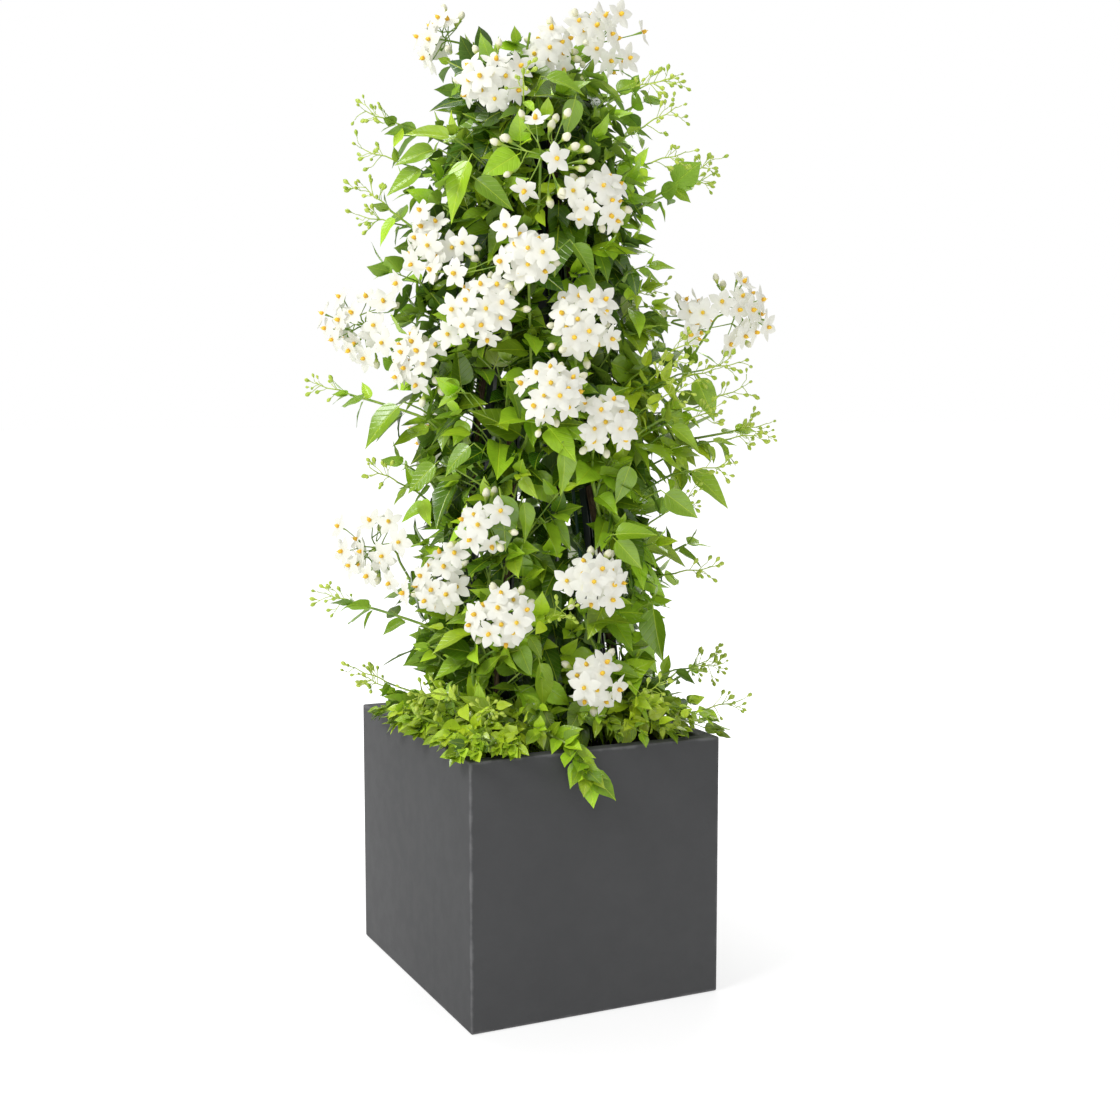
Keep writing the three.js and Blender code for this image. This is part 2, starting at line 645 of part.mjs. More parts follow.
// A spray of small green buds on a zigzag stalk, past the end of a leafy branch.
function spraySolids(path, random) {
  const direction = directionAt(path, path.length - 1);
  const side = squareTo(direction, UP);
  const tip = along(path.at(-1), direction, -2);
  const stalk = [0, 1, 2, 3].map((i) => along(along(tip, direction, 14 * i), side, i % 2 ? 2 : 0));
  const buds = [0, 1, 2].map((i) => {
    const root = pointOn(stalk, 0.4 + 0.28 * i);
    const away = side.clone().applyAxisAngle(direction, i * GOLDEN_ANGLE).add(direction).normalize();
    const centre = along(root, away, 12 + 5 * random());
    return budSolid(root, centre, away, GREEN_BUD_RADIUS, GREEN_BUD_LENGTH, 3);
  });
  return [tube(stalk, SHOOT_TIP_RADIUS, PEDICEL_RADIUS, SHOOT_SIDES), ...buds];
}

// A shoot's axis and its side branches, which leave it one after the other.
function shootAxes(shoot) {
  const stops = shoot.ends.map((end) => {
    const goal = endPoint(end);
    const last = endDirection(end, goal);
    return { last, stop: along(goal, last, typeof end === "string" ? -SEAT_GAP : 0) };
  });
  const { foot, side } = shootFoot(shoot, stops[0].stop);
  const reach = (start, heading, bend, { stop, last }, steps) => {
    const span = start.distanceTo(stop);
    return arc(start, along(start, heading, bend * span), along(stop, last, -0.3 * span), stop, steps);
  };
  const main = reach(foot, side, 0.35, stops[0], SHOOT_STEPS);
  const branches = stops.slice(1).map((end, i) =>
    reach(pointOn(main, 0.35 + 0.22 * i), directionAt(main, 2 + i), 0.3, end, SHOOT_STEPS - 1),
  );
  return [main, ...branches];
}

const shootPaths = {};
Object.entries(SHOOTS).forEach(([name, shoot]) => {
  shootPaths[name] = shootAxes(shoot);
  shootPaths[name].forEach((path) => takePath(name, path, 2));
});

Object.entries(HEADS).forEach(([name, head], i) => {
  const frame = frames[name];
  const solids = headSolids(head, frame, i + 1, headPath(frame));
  if (head.twin) {
    const { twin } = frame;
    const fork = headPath(frame)[1];
    const path = [fork, along(twin.hub, twin.facing, -HEAD_STALK), twin.hub];
    solids.push(...headSolids(head.twin, twin, i + 101, path));
  }
  addPiece(plant, name, fuse(solids), COLOURS.petal, 0.6);
});

Object.entries(SHOOTS).forEach(([name, shoot], i) => {
  const seed = SHOOT_SEED * (i + 1);
  const solids = shootPaths[name].map((path, p) =>
    tube(path, p ? BRANCH_RADIUS : SHOOT_RADIUS, SHOOT_TIP_RADIUS, SHOOT_SIDES),
  );
  (shoot.sprays ?? []).forEach((p) => solids.push(...spraySolids(shootPaths[name][p], draws(seed + p))));
  const kind = shoot.low ? SMALL_LEAF : LARGE_LEAF;
  shootPaths[name].forEach((path, p) => {
    solids.push(...leavesAlong(name, path, seed + BRANCH_SEED * (p + 1), kind));
  });
  addPiece(plant, name, fuse(solids).subtract(stemSleeve(shoot.stem)), COLOURS.leaf, 0.55);
});

// Planter and soil
function roundedPlate(width, depth, height, edge) {
  const [w, d] = [width / 2 - edge, depth / 2 - edge];
  const corners = [[-w, -d], [w, -d], [w, d], [-w, d]].map(([x, y]) => new THREE.Vector2(x, y));
  const options = { depth: height - 2 * edge, bevelThickness: edge, bevelSize: edge, bevelSegments: 1 };
  return solidOf(new THREE.ExtrudeGeometry(new THREE.Shape(corners), options).translate(0, 0, edge));
}

// A box that fills the inside of the planter's walls, up to a height, less a gap all round.
function filling(from, to, gap) {
  const width = PLANTER_WIDTH - 2 * (PLANTER_WALL + gap);
  const depth = PLANTER_DEPTH - 2 * (PLANTER_WALL + gap);
  return new THREE.BoxGeometry(width, depth, to - from).translate(0, 0, (from + to) / 2);
}

function planterSolid() {
  const block = roundedPlate(PLANTER_WIDTH, PLANTER_DEPTH, PLANTER_HEIGHT, PLANTER_EDGE);
  return block.subtract(solidOf(filling(PLANTER_FLOOR, PLANTER_HEIGHT + PLANTER_WALL, 0)));
}

// The soil lies in the planter's frame, and its holes in the plant's, so the block is turned to meet them.
function soilSolid() {
  const block = solidOf(filling(PLANTER_FLOOR + GAP, SOIL_TOP, GAP).rotateZ(-PLANT_TURN));
  return holes.reduce((sum, hole) => sum.subtract(hole), block);
}

addPiece(plant, "soil", soilSolid(), COLOURS.soil, 0.95);

const root = new THREE.Group();
addPiece(root, "planter", planterSolid(), COLOURS.planter, 0.7);
root.add(plant);

export default root;
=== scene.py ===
# %% [markdown]
# # A potato vine in flower, in a square planter
#
# This lesson dresses a climbing plant. The fixed frame already holds every part in its place and size: the
# planter, the soil, four leaning uprights, the woody main stems, and one solid for each leafy shoot and
# each flower head. Here the coarse leaves and flowers are replaced by finer ones that stand in the same
# places, and the bush is filled with the many small twigs, leaves and buds that a real vine has.

# %% Load the frame
import bpy
import math
import random
import numpy as np
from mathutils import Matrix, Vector, noise


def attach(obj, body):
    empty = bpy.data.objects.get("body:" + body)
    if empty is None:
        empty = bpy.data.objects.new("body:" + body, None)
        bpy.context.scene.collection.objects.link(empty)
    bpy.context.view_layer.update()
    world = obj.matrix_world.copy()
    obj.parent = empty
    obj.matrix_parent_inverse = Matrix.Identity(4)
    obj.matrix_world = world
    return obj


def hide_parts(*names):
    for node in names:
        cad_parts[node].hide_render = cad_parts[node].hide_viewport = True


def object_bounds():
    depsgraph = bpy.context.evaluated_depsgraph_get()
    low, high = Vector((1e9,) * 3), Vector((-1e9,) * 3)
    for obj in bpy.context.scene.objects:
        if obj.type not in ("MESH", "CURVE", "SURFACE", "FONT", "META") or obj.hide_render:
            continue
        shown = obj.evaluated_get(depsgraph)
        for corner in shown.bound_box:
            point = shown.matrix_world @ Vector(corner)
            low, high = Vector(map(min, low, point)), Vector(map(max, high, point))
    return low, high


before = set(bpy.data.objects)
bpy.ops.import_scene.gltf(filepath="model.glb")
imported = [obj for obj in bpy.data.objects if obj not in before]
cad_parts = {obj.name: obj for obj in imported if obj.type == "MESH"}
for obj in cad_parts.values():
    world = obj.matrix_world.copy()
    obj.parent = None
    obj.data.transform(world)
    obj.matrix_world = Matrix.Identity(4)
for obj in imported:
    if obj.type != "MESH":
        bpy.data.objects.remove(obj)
cad_box = [list(corner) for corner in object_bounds()]
print("The frame has", len(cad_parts), "nodes in the box", cad_box)

# %% [markdown]
# ## Camera, light and floor
#
# The camera stands in front of the plant's show side, a little above its middle, and looks slightly down.
# The light is that of a bright studio with white walls. Most of it comes from above and from the upper
# left, so the planter's left face is the lighter one. The white world that the camera sees is brighter than
# the light it gives, because a studio wall is lit by lamps of its own.

# %% Camera
PLANT_TURN = math.radians(-25.3)
LOOK_DOWN = math.radians(5.87)


def in_scene(name, data):
    """An object for this data, linked to the scene."""
    made = bpy.data.objects.new(name, data)
    bpy.context.scene.collection.objects.link(made)
    return made


camera_data = bpy.data.cameras.new("camera")
camera_data.lens = 51.4
camera_data.sensor_width = 36
camera = in_scene("camera", camera_data)
camera.location = (-0.760, -1.684, 0.671)
camera.rotation_euler = (math.pi / 2 - LOOK_DOWN, 0, PLANT_TURN)
bpy.context.scene.camera = camera


# %% Lamps
PLANT_MIDDLE = Vector((0, 0, 0.6))
# Name, azimuth in degrees from the camera's side, height, distance and size in metres, and watts
LAMPS = [
    ("key lamp", -50, 2.3, 2.2, 1.1, 50),
    ("front lamp", 5, 2.4, 2.6, 1.4, 13),
    ("top lamp", -150, 3.0, 0.8, 1.2, 28),
    ("back lamp", 170, 2.0, 2.6, 1.4, 18),
]
for name, azimuth, height, distance, size, watts in LAMPS:
    lamp_data = bpy.data.lights.new(name, "AREA")
    lamp_data.size = size
    lamp_data.energy = watts
    turn = PLANT_TURN + math.radians(azimuth)
    place = Vector((math.sin(turn) * distance, -math.cos(turn) * distance, height))
    lamp = in_scene(name, lamp_data)
    lamp.location = place
    lamp.rotation_euler = (PLANT_MIDDLE - place).to_track_quat("-Z", "Y").to_euler()

# %% World
WHITE = (1, 1, 1, 1)
WORLD_LIGHT = 0.38
world = bpy.data.worlds.new("white studio")
world.use_nodes = True
world_tree = world.node_tree
seen = world_tree.nodes["Background"]
seen.inputs["Color"].default_value = WHITE
lighting = world_tree.nodes.new("ShaderNodeBackground")
lighting.inputs["Color"].default_value = WHITE
lighting.inputs["Strength"].default_value = WORLD_LIGHT
rays = world_tree.nodes.new("ShaderNodeLightPath")
either = world_tree.nodes.new("ShaderNodeMixShader")
world_tree.links.new(rays.outputs["Is Camera Ray"], either.inputs[0])
world_tree.links.new(lighting.outputs[0], either.inputs[1])
world_tree.links.new(seen.outputs[0], either.inputs[2])
world_tree.links.new(either.outputs[0], world_tree.nodes["World Output"].inputs["Surface"])
bpy.context.scene.world = world
bpy.context.scene.view_settings.view_transform = "Standard"

# %% [markdown]
# ## Shader groups
#
# A finish that more than one material needs is a node group, built once: a cloudy variation of tone, a fine
# grain that stands up as relief, and the veins of a leaf, which follow the blade's own UV map. A small
# helper makes the nodes and joins their sockets, so that each group reads as a short list.


# %% Node helpers
def node(tree, kind, settings=None, **inputs):
    """Adds a node, sets its properties, and gives its inputs a value or a link. at0 is the first input."""
    made = tree.nodes.new(kind)
    for key, value in (settings or {}).items():
        setattr(made, key, value)
    for key, value in inputs.items():
        label = key.replace("_", " ")
        socket = made.inputs[int(key[2:])] if key.startswith("at") else made.inputs[label]
        if isinstance(value, bpy.types.NodeSocket):
            tree.links.new(value, socket)
        else:
            socket.default_value = value
    return made


def maths(tree, operation, first, second=0.0):
    """One Math node; returns its output."""
    return node(tree, "ShaderNodeMath", {"operation": operation}, at0=first, at1=second).outputs[0]


def ramp(tree, value, low, high, to_low=0.0, to_high=1.0):
    """A smooth step from to_low to to_high while value goes from low to high."""
    settings = {"interpolation_type": "SMOOTHSTEP"}
    ends = {"at0": value, "at1": low, "at2": high, "at3": to_low, "at4": to_high}
    return node(tree, "ShaderNodeMapRange", settings, **ends).outputs[0]


def mixed(tree, share, first, second):
    """A colour between first and second; returns its output."""
    made = node(tree, "ShaderNodeMix", {"data_type": "RGBA"}, at0=share, at6=first, at7=second)
    return made.outputs[2]


def new_group(name, inputs, outputs):
    """An empty shader group with float inputs (name and default) and named outputs of a given type."""
    group = bpy.data.node_groups.new(name, "ShaderNodeTree")
    for label, value in inputs:
        socket = group.interface.new_socket(label, in_out="INPUT", socket_type="NodeSocketFloat")
        socket.default_value = value
    for label, kind in outputs:
        group.interface.new_socket(label, in_out="OUTPUT", socket_type=kind)
    return group, group.nodes.new("NodeGroupInput").outputs, group.nodes.new("NodeGroupOutput").inputs


def object_place(tree):
    return node(tree, "ShaderNodeTexCoord").outputs["Object"]


def blade_place(tree):
    """The numbers of the piece's own UV map: across it and along it."""
    uv = node(tree, "ShaderNodeUVMap", {"uv_map": "blade"}).outputs[0]
    return node(tree, "ShaderNodeSeparateXYZ", Vector=uv).outputs


# %% Clouds, grain and veins
def make_clouds():
    """A soft cloudy mask from 0 to 1 in the object's own coordinates."""
    group, given, out = new_group("clouds", [("Scale", 8.0)], [("Mask", "NodeSocketFloat")])
    cloud = node(group, "ShaderNodeTexNoise", Vector=object_place(group), Detail=4.0, Roughness=0.6)
    group.links.new(given["Scale"], cloud.inputs["Scale"])
    group.links.new(ramp(group, cloud.outputs[0], 0.3, 0.7), out["Mask"])
    return group


def make_grain():
    """Fine relief: a normal that a shader can use, and the height that made it."""
    inputs = [("Scale", 300.0), ("Strength", 0.2), ("Depth", 0.001)]
    outputs = [("Normal", "NodeSocketVector"), ("Height", "NodeSocketFloat")]
    group, given, out = new_group("grain", inputs, outputs)
    speck = node(group, "ShaderNodeTexNoise", Vector=object_place(group), Detail=3.0)
    group.links.new(given["Scale"], speck.inputs["Scale"])
    bump = node(group, "ShaderNodeBump", Height=speck.outputs[0], Strength=given["Strength"])
    group.links.new(given["Depth"], bump.inputs["Distance"])
    group.links.new(bump.outputs[0], out["Normal"])
    group.links.new(speck.outputs[0], out["Height"])
    return group


def make_veins():
    """A leaf's midrib and side veins. U runs across the blade with the midrib at one half, V along it."""
    inputs = [("Pairs", 8.0), ("Slant", 0.9)]
    outputs = [("Midrib", "NodeSocketFloat"), ("Veins", "NodeSocketFloat")]
    group, given, out = new_group("veins", inputs, outputs)
    across, ahead, _ = blade_place(group)
    aside = maths(group, "ABSOLUTE", maths(group, "SUBTRACT", across, 0.5))
    slanted = maths(group, "SUBTRACT", ahead, maths(group, "MULTIPLY", aside, given["Slant"]))
    phase = maths(group, "FRACT", maths(group, "MULTIPLY", slanted, given["Pairs"]))
    near = maths(group, "ABSOLUTE", maths(group, "SUBTRACT", phase, 0.5))
    group.links.new(ramp(group, aside, 0.004, 0.018, 1.0, 0.0), out["Midrib"])
    group.links.new(ramp(group, near, 0.0, 0.13, 1.0, 0.0), out["Veins"])
    return group


CLOUDS = make_clouds()
GRAIN = make_grain()
VEINS = make_veins()
print("Shader groups:", [group.name for group in bpy.data.node_groups])

# %% [markdown]
# ## Materials
#
# Every blade carries three numbers in a colour attribute: how light it is, how yellow it is, and whether a
# face is its paler underside. How light a blade is mixes a random difference of its own with painted light
# and
# shade: blades deep in the bush are painted dark as shade, and outer ones light as if lit. The leaf's
# colour is mixed from those, the veins and a faint cloud. Petals are white with a trace of cream, anthers
# are yellow, and buds go from green to cream along their own length.


# %% Material helpers
def material(name, roughness, **sockets):
    """A material with its Principled shader; the sockets given are constants set on the shader itself."""
    made = bpy.data.materials.new(name)
    made.use_nodes = True
    shader = made.node_tree.nodes["Principled BSDF"]
    shader.inputs["Roughness"].default_value = roughness
    for key, value in sockets.items():
        shader.inputs[key.replace("_", " ")].default_value = value
    return made, made.node_tree, shader


def placed(tree, group, **inputs):
    """A copy of a shader group with its values; returns its outputs."""
    return node(tree, "ShaderNodeGroup", {"node_tree": group}, **inputs).outputs


# %% Leaf material
def leaf_material(name, dark, light, young):
    """Green of a living leaf: dark to light by its lightness, which is partly its own and partly painted
    shade and painted light, and yellow-green where it is young.
    """
    made, tree, shader = material(name, 0.4, Specular_IOR_Level=0.7)
    tone = node(tree, "ShaderNodeAttribute", {"attribute_name": "tone"}).outputs["Color"]
    lightness_and_painted_light, youth, underside = node(tree, "ShaderNodeSeparateColor", Color=tone).outputs
    veins = placed(tree, VEINS, Pairs=8.0, Slant=0.9)
    clouds = placed(tree, CLOUDS, Scale=55.0)
    # Painted light and shade: the dark green is that of a leaf in shade, the light green that of a lit leaf
    green = mixed(tree, lightness_and_painted_light, dark, light)
    green = mixed(tree, youth, green, young)
    green = mixed(tree, maths(tree, "MULTIPLY", clouds["Mask"], 0.22), green, dark)
    green = mixed(tree, maths(tree, "MULTIPLY", veins["Veins"], 0.08), green, young)
    green = mixed(tree, maths(tree, "MULTIPLY", veins["Midrib"], 0.35), green, young)
    pale = mixed(tree, 0.3, green, (0.28, 0.48, 0.08, 1))
    tree.links.new(mixed(tree, underside, green, pale), shader.inputs["Base Color"])
    dulled = maths(tree, "MULTIPLY", underside, 0.3)
    tree.links.new(maths(tree, "ADD", dulled, 0.27), shader.inputs["Roughness"])
    sunk = maths(tree, "ADD", veins["Midrib"], maths(tree, "MULTIPLY", veins["Veins"], 0.6))
    bump = node(tree, "ShaderNodeBump", {"invert": True}, Height=sunk, Strength=0.4, Distance=0.001)
    tree.links.new(bump.outputs[0], shader.inputs["Normal"])
    return made


# The first green is painted shade, a leaf deep in the bush; the second is painted light, a lit leaf; the
# third is young growth
LEAF = leaf_material("leaf green", (0.026, 0.088, 0.003, 1), (0.43, 0.73, 0.03, 1), (0.66, 0.82, 0.03, 1))


# %% Stalk, bark and coat materials
def clouded_material(name, first, second, roughness, scale, strength):
    """Two tones in soft clouds with a fine grain, for stalks, bark and coated metal."""
    made, tree, shader = material(name, roughness)
    clouds = placed(tree, CLOUDS, Scale=scale)
    tree.links.new(mixed(tree, clouds["Mask"], first, second), shader.inputs["Base Color"])
    relief = placed(tree, GRAIN, Scale=scale * 6, Strength=strength, Depth=0.0006)
    tree.links.new(relief["Normal"], shader.inputs["Normal"])
    return made


STALK = clouded_material("young stalk", (0.12, 0.24, 0.02, 1), (0.30, 0.43, 0.04, 1), 0.45, 60.0, 0.2)
SPRAY = clouded_material("bud spray", (0.30, 0.44, 0.03, 1), (0.50, 0.60, 0.08, 1), 0.45, 80.0, 0.2)
BARK = clouded_material("woody bark", (0.055, 0.030, 0.015, 1), (0.17, 0.11, 0.06, 1), 0.85, 45.0, 0.9)
COATED = (0.35, 30.0, 0.15)
UPRIGHT_COAT = clouded_material("upright coat", (0.004, 0.009, 0.007, 1), (0.01, 0.022, 0.017, 1), *COATED)
CANE_COAT = clouded_material("cane coat", (0.004, 0.030, 0.018, 1), (0.012, 0.060, 0.038, 1), *COATED)


# %% Petal, anther and bud materials
def petal_material():
    """White petals with fine lengthwise lines and a trace of yellow-green at the eye. A thin petal lets
    light through, so its shaded side is never quite dark: a faint glow stands for that."""
    glow = {"Emission_Color": (1.0, 1.0, 0.87, 1), "Emission_Strength": 0.25}
    made, tree, shader = material("petal", 0.6, **glow)
    across, ahead, _ = blade_place(tree)
    clouds = placed(tree, CLOUDS, Scale=70.0)
    white = mixed(tree, clouds["Mask"], (0.57, 0.57, 0.52, 1), (0.53, 0.53, 0.47, 1))
    eye = ramp(tree, ahead, 0.08, 0.34, 0.6, 0.0)
    tree.links.new(mixed(tree, eye, white, (0.52, 0.55, 0.26, 1)), shader.inputs["Base Color"])
    lines = maths(tree, "SINE", maths(tree, "MULTIPLY", across, 110.0))
    bump = node(tree, "ShaderNodeBump", Height=lines, Strength=0.12, Distance=0.0004)
    tree.links.new(bump.outputs[0], shader.inputs["Normal"])
    return made


def lengthwise_material(name, stops, roughness):
    """A colour that changes along the piece's own V, given as stops of (V, colour)."""
    made, tree, shader = material(name, roughness)
    ahead = blade_place(tree)[1]
    colour = stops[0][1]
    for (low, _), (high, following) in zip(stops, stops[1:]):
        colour = mixed(tree, ramp(tree, ahead, low, high), colour, following)
    shade = maths(tree, "MULTIPLY", placed(tree, CLOUDS, Scale=120.0)["Mask"], 0.15)
    tree.links.new(mixed(tree, shade, colour, stops[0][1]), shader.inputs["Base Color"])
    relief = placed(tree, GRAIN, Scale=700.0, Strength=0.15, Depth=0.0004)
    tree.links.new(relief["Normal"], shader.inputs["Normal"])
    return made


PETAL = petal_material()
ANTHER = lengthwise_material("anther", [(0.0, (0.74, 0.36, 0.01, 1)), (0.8, (0.86, 0.58, 0.03, 1))], 0.5)
BUD_STOPS = [(0.12, (0.34, 0.45, 0.04, 1)), (0.36, (0.56, 0.62, 0.16, 1)), (0.55, (0.80, 0.77, 0.60, 1))]
BUD = lengthwise_material("flower bud", BUD_STOPS, 0.5)

# %% [markdown]
# ## One leaf, one flower, one bud
#
# Each of these is modelled once and copied many times. A blade starts as a narrow plane at the
# foot of its stalk. Its front edge is extruded row by row, and every new row is made wider or narrower.
# Then the blade is cut along its midrib and doubled, and the two skins stay joined at their edge, so a
# blade is a thin closed lens: that takes half as many faces as a sheet with a rim of its own.


# %% Modelling helpers
def deselect_all():
    """Nothing stays selected, so that the next operator acts on the new piece alone."""
    if bpy.context.object and bpy.context.object.mode != "OBJECT":
        bpy.ops.object.mode_set(mode="OBJECT")
    bpy.ops.object.select_all(action="DESELECT")


def open_mesh(action="SELECT"):
    """Opens the active mesh in edit mode, with all of it selected or deselected."""
    bpy.ops.object.mode_set(mode="EDIT")
    bpy.ops.mesh.select_all(action=action)


def close_mesh():
    bpy.ops.object.mode_set(mode="OBJECT")


def select_points(test):
    """Selects the active mesh's points for which test is true, and leaves it in edit mode."""
    bpy.ops.object.mode_set(mode="EDIT")
    bpy.ops.mesh.select_mode(type="VERT")
    bpy.ops.mesh.select_all(action="DESELECT")
    close_mesh()
    for vertex in bpy.context.object.data.vertices:
        vertex.select = test(vertex)
    bpy.ops.object.mode_set(mode="EDIT")


def merge_doubles(distance):
    """Merges the active mesh's points that lie closer together than this."""
    open_mesh()
    bpy.ops.mesh.remove_doubles(threshold=distance)
    close_mesh()


def blade_rows(rows):
    """Extrudes a blade's front edge from row to row: how far along each stands, and half its width."""
    (start, foot), (first, width) = rows[0], rows[1]
    bpy.ops.mesh.primitive_plane_add(size=1, location=(0, 0, 0))
    blade = bpy.context.object
    bpy.ops.object.mode_set(mode="EDIT")
    bpy.ops.transform.resize(value=(2 * foot, first - start, 1), center_override=(0, 0, 0))
    bpy.ops.transform.translate(value=(0, (first + start) / 2, 0))
    select_points(lambda vertex: abs(vertex.co.y - first) < 1e-4)
    bpy.ops.transform.resize(value=(width / foot, 1, 1), center_override=(0, first, 0))
    for (past, before), (ahead, half) in zip(rows[1:], rows[2:]):
        select_points(lambda vertex: abs(vertex.co.y - past) < 1e-4)
        bpy.ops.mesh.extrude_region_move(TRANSFORM_OT_translate={"value": (0, ahead - past, 0)})
        bpy.ops.transform.resize(value=(half / before, 1, 1), center_override=(0, ahead, 0))
    close_mesh()
    return blade


def cut_along(places):
    """Cuts the blade lengthwise at these distances from its midrib."""
    for place in places:
        open_mesh()
        bpy.ops.mesh.bisect(plane_co=(place, 0, 0), plane_no=(1, 0, 0))
        close_mesh()


def rim_points(mesh):
    """The numbers of the points on an edge that has one face only."""
    uses = {}
    for face in mesh.polygons:
        for key in face.edge_keys:
            uses[key] = uses.get(key, 0) + 1
    return {point for key, count in uses.items() if count == 1 for point in key}


def doubled(blade, thickness):
    """Closes a sheet: a copy of it, turned over and lowered inside its rim, is joined to it at the rim."""
    rim = rim_points(blade.data)
    count = len(blade.data.vertices)
    open_mesh()
    bpy.ops.mesh.duplicate()
    bpy.ops.mesh.flip_normals()
    select_points(lambda vertex: vertex.index >= count and vertex.index - count not in rim)
    bpy.ops.transform.translate(value=(0, 0, -thickness))
    merge_doubles(1e-4)


def as_arrays(shape, across, ahead):
    """Keeps a modelled shape as arrays: points, faces, its own UV map, and which faces look down."""
    mesh = shape.data
    points = np.array([vertex.co[:] for vertex in mesh.vertices])
    loops = np.array([loop.vertex_index for loop in mesh.loops])
    sizes = np.array([face.loop_total for face in mesh.polygons])
    below = np.repeat([float(face.normal.z < 0) for face in mesh.polygons], sizes)
    uv = np.stack([across(points[loops]), ahead(points[loops])], 1)
    bpy.data.objects.remove(shape)
    return {"points": points, "loops": loops, "sizes": sizes, "uv": uv, "below": below}


def triangles(shape):
    return int((shape["sizes"] - 2).sum())


# %% The leaf
# How far along the leaf each row of points stands, and half the leaf's width there
FINE_ROWS = [(0.0, 0.011), (0.12, 0.014), (0.145, 0.12), (0.19, 0.215), (0.28, 0.285), (0.42, 0.30),
             (0.57, 0.26), (0.71, 0.185), (0.83, 0.105), (0.92, 0.045), (1.0, 0.003)]
PLAIN_ROWS = [(0.0, 0.012), (0.12, 0.016), (0.17, 0.19), (0.32, 0.295), (0.54, 0.28), (0.75, 0.175),
              (0.90, 0.07), (1.0, 0.003)]


def leaf_shape(rows, cuts):
    """A leaf of length 1 along +Y, cut where it bends."""
    deselect_all()
    blade = blade_rows(rows)
    cut_along(cuts)
    doubled(blade, 0.008)
    return as_arrays(blade, lambda p: 0.5 + p[:, 0], lambda p: p[:, 1])


# A fine leaf bends along its midrib and along two lines beside it
FINE_LEAF = leaf_shape(FINE_ROWS, [0, -0.1, 0.1])
PLAIN_LEAF = leaf_shape(PLAIN_ROWS, [0])
print("A fine leaf has", triangles(FINE_LEAF), "triangles and a plain one", triangles(PLAIN_LEAF))

# %% The flower
PETALS = 5
HALF_PETAL = math.tan(math.pi / PETALS)
PETAL_ROWS = [(0.0, 0.0004), (0.20, 0.20 * HALF_PETAL), (0.40, 0.40 * HALF_PETAL), (0.56, 0.32),
              (0.75, 0.235), (0.90, 0.105), (1.0, 0.003)]


def star_shape():
    """Five petals round +Z, of radius 1, joined round the eye and creased along their middle."""
    deselect_all()
    star = blade_rows(PETAL_ROWS)
    cut_along([0])
    for vertex in star.data.vertices:
        x, y = vertex.co.x, vertex.co.y
        vertex.co.z = 0.12 * y - 0.20 * y ** 3 - 0.75 * abs(x) ** 1.5
    petal = star.data.copy()
    for number in range(1, PETALS):
        following = in_scene("petal", petal.copy())
        following.rotation_euler.z = 2 * math.pi * number / PETALS
        following.select_set(True)
    star.select_set(True)
    bpy.context.view_layer.objects.active = star
    bpy.ops.object.join()
    merge_doubles(0.004)
    doubled(star, 0.02)

    def round_star(p):
        angle = np.arctan2(p[:, 0], p[:, 1])
        return np.abs(np.mod(angle / (2 * np.pi) * PETALS + 0.5, 1) - 0.5)

    return as_arrays(star, round_star, lambda p: np.hypot(p[:, 0], p[:, 1]))


STAR = star_shape()
print("A flower has", triangles(STAR), "triangles")


# %% Anthers and buds, turned up from a ring
def turned_shape(sides, profile):
    """A closed shape round +Z, in millimetres: a ring is extruded up from (height, radius) to the next."""
    deselect_all()
    low, foot = profile[0]
    bpy.ops.mesh.primitive_circle_add(vertices=sides, radius=foot, fill_type="NGON", location=(0, 0, 0))
    shape = bpy.context.object
    open_mesh()
    bpy.ops.transform.translate(value=(0, 0, low))
    for (below, before), (height, radius) in zip(profile, profile[1:]):
        bpy.ops.mesh.extrude_region_move(TRANSFORM_OT_translate={"value": (0, 0, height - below)})
        wider = radius / before
        bpy.ops.transform.resize(value=(wider, wider, 1), center_override=(0, 0, height))
    bpy.ops.mesh.select_all(action="DESELECT")
    bpy.ops.mesh.select_non_manifold()
    bpy.ops.mesh.edge_face_add()
    bpy.ops.mesh.select_all(action="SELECT")
    bpy.ops.mesh.normals_make_consistent(inside=False)
    close_mesh()
    top = profile[-1][0]
    return as_arrays(shape, lambda p: 0.5 + p[:, 0] / top, lambda p: p[:, 2] / top)


ANTHERS = turned_shape(6, [(0, 1.7), (0.6, 2.5), (2.8, 2.8), (5.0, 2.1), (5.8, 0.6), (7.6, 0.35)])
BUD_PROFILE = [(0, 0.7), (2.6, 2.0), (5.2, 2.7), (6.4, 3.9), (9.5, 4.4), (13.0, 3.2), (15.2, 0.6)]
FLOWER_BUD = turned_shape(7, BUD_PROFILE)
GREEN_BUD = turned_shape(6, [(0, 0.6), (2.2, 1.3), (4.4, 2.5), (6.8, 2.4), (8.8, 0.6)])
print("Anthers, flower bud, green bud:", triangles(ANTHERS), triangles(FLOWER_BUD), triangles(GREEN_BUD))

# %% [markdown]
# ## Where everything stands
#
# The frame's shoots and flower heads were grown by a few rules with seeded numbers. The same rules are
# repeated here, in millimetres and in the plant's own frame, where +X is to the right of someone who looks
# at the show side and -Y is towards them. They give each leaf and flower its exact place, so a finer one
# can stand there.

# %% The heads and shoots that the rules start from
SOIL_TOP = 268
PLANTER_HEIGHT = 293
PLANTER_HALF = (150, 175)
PLANTER_WALL = 18
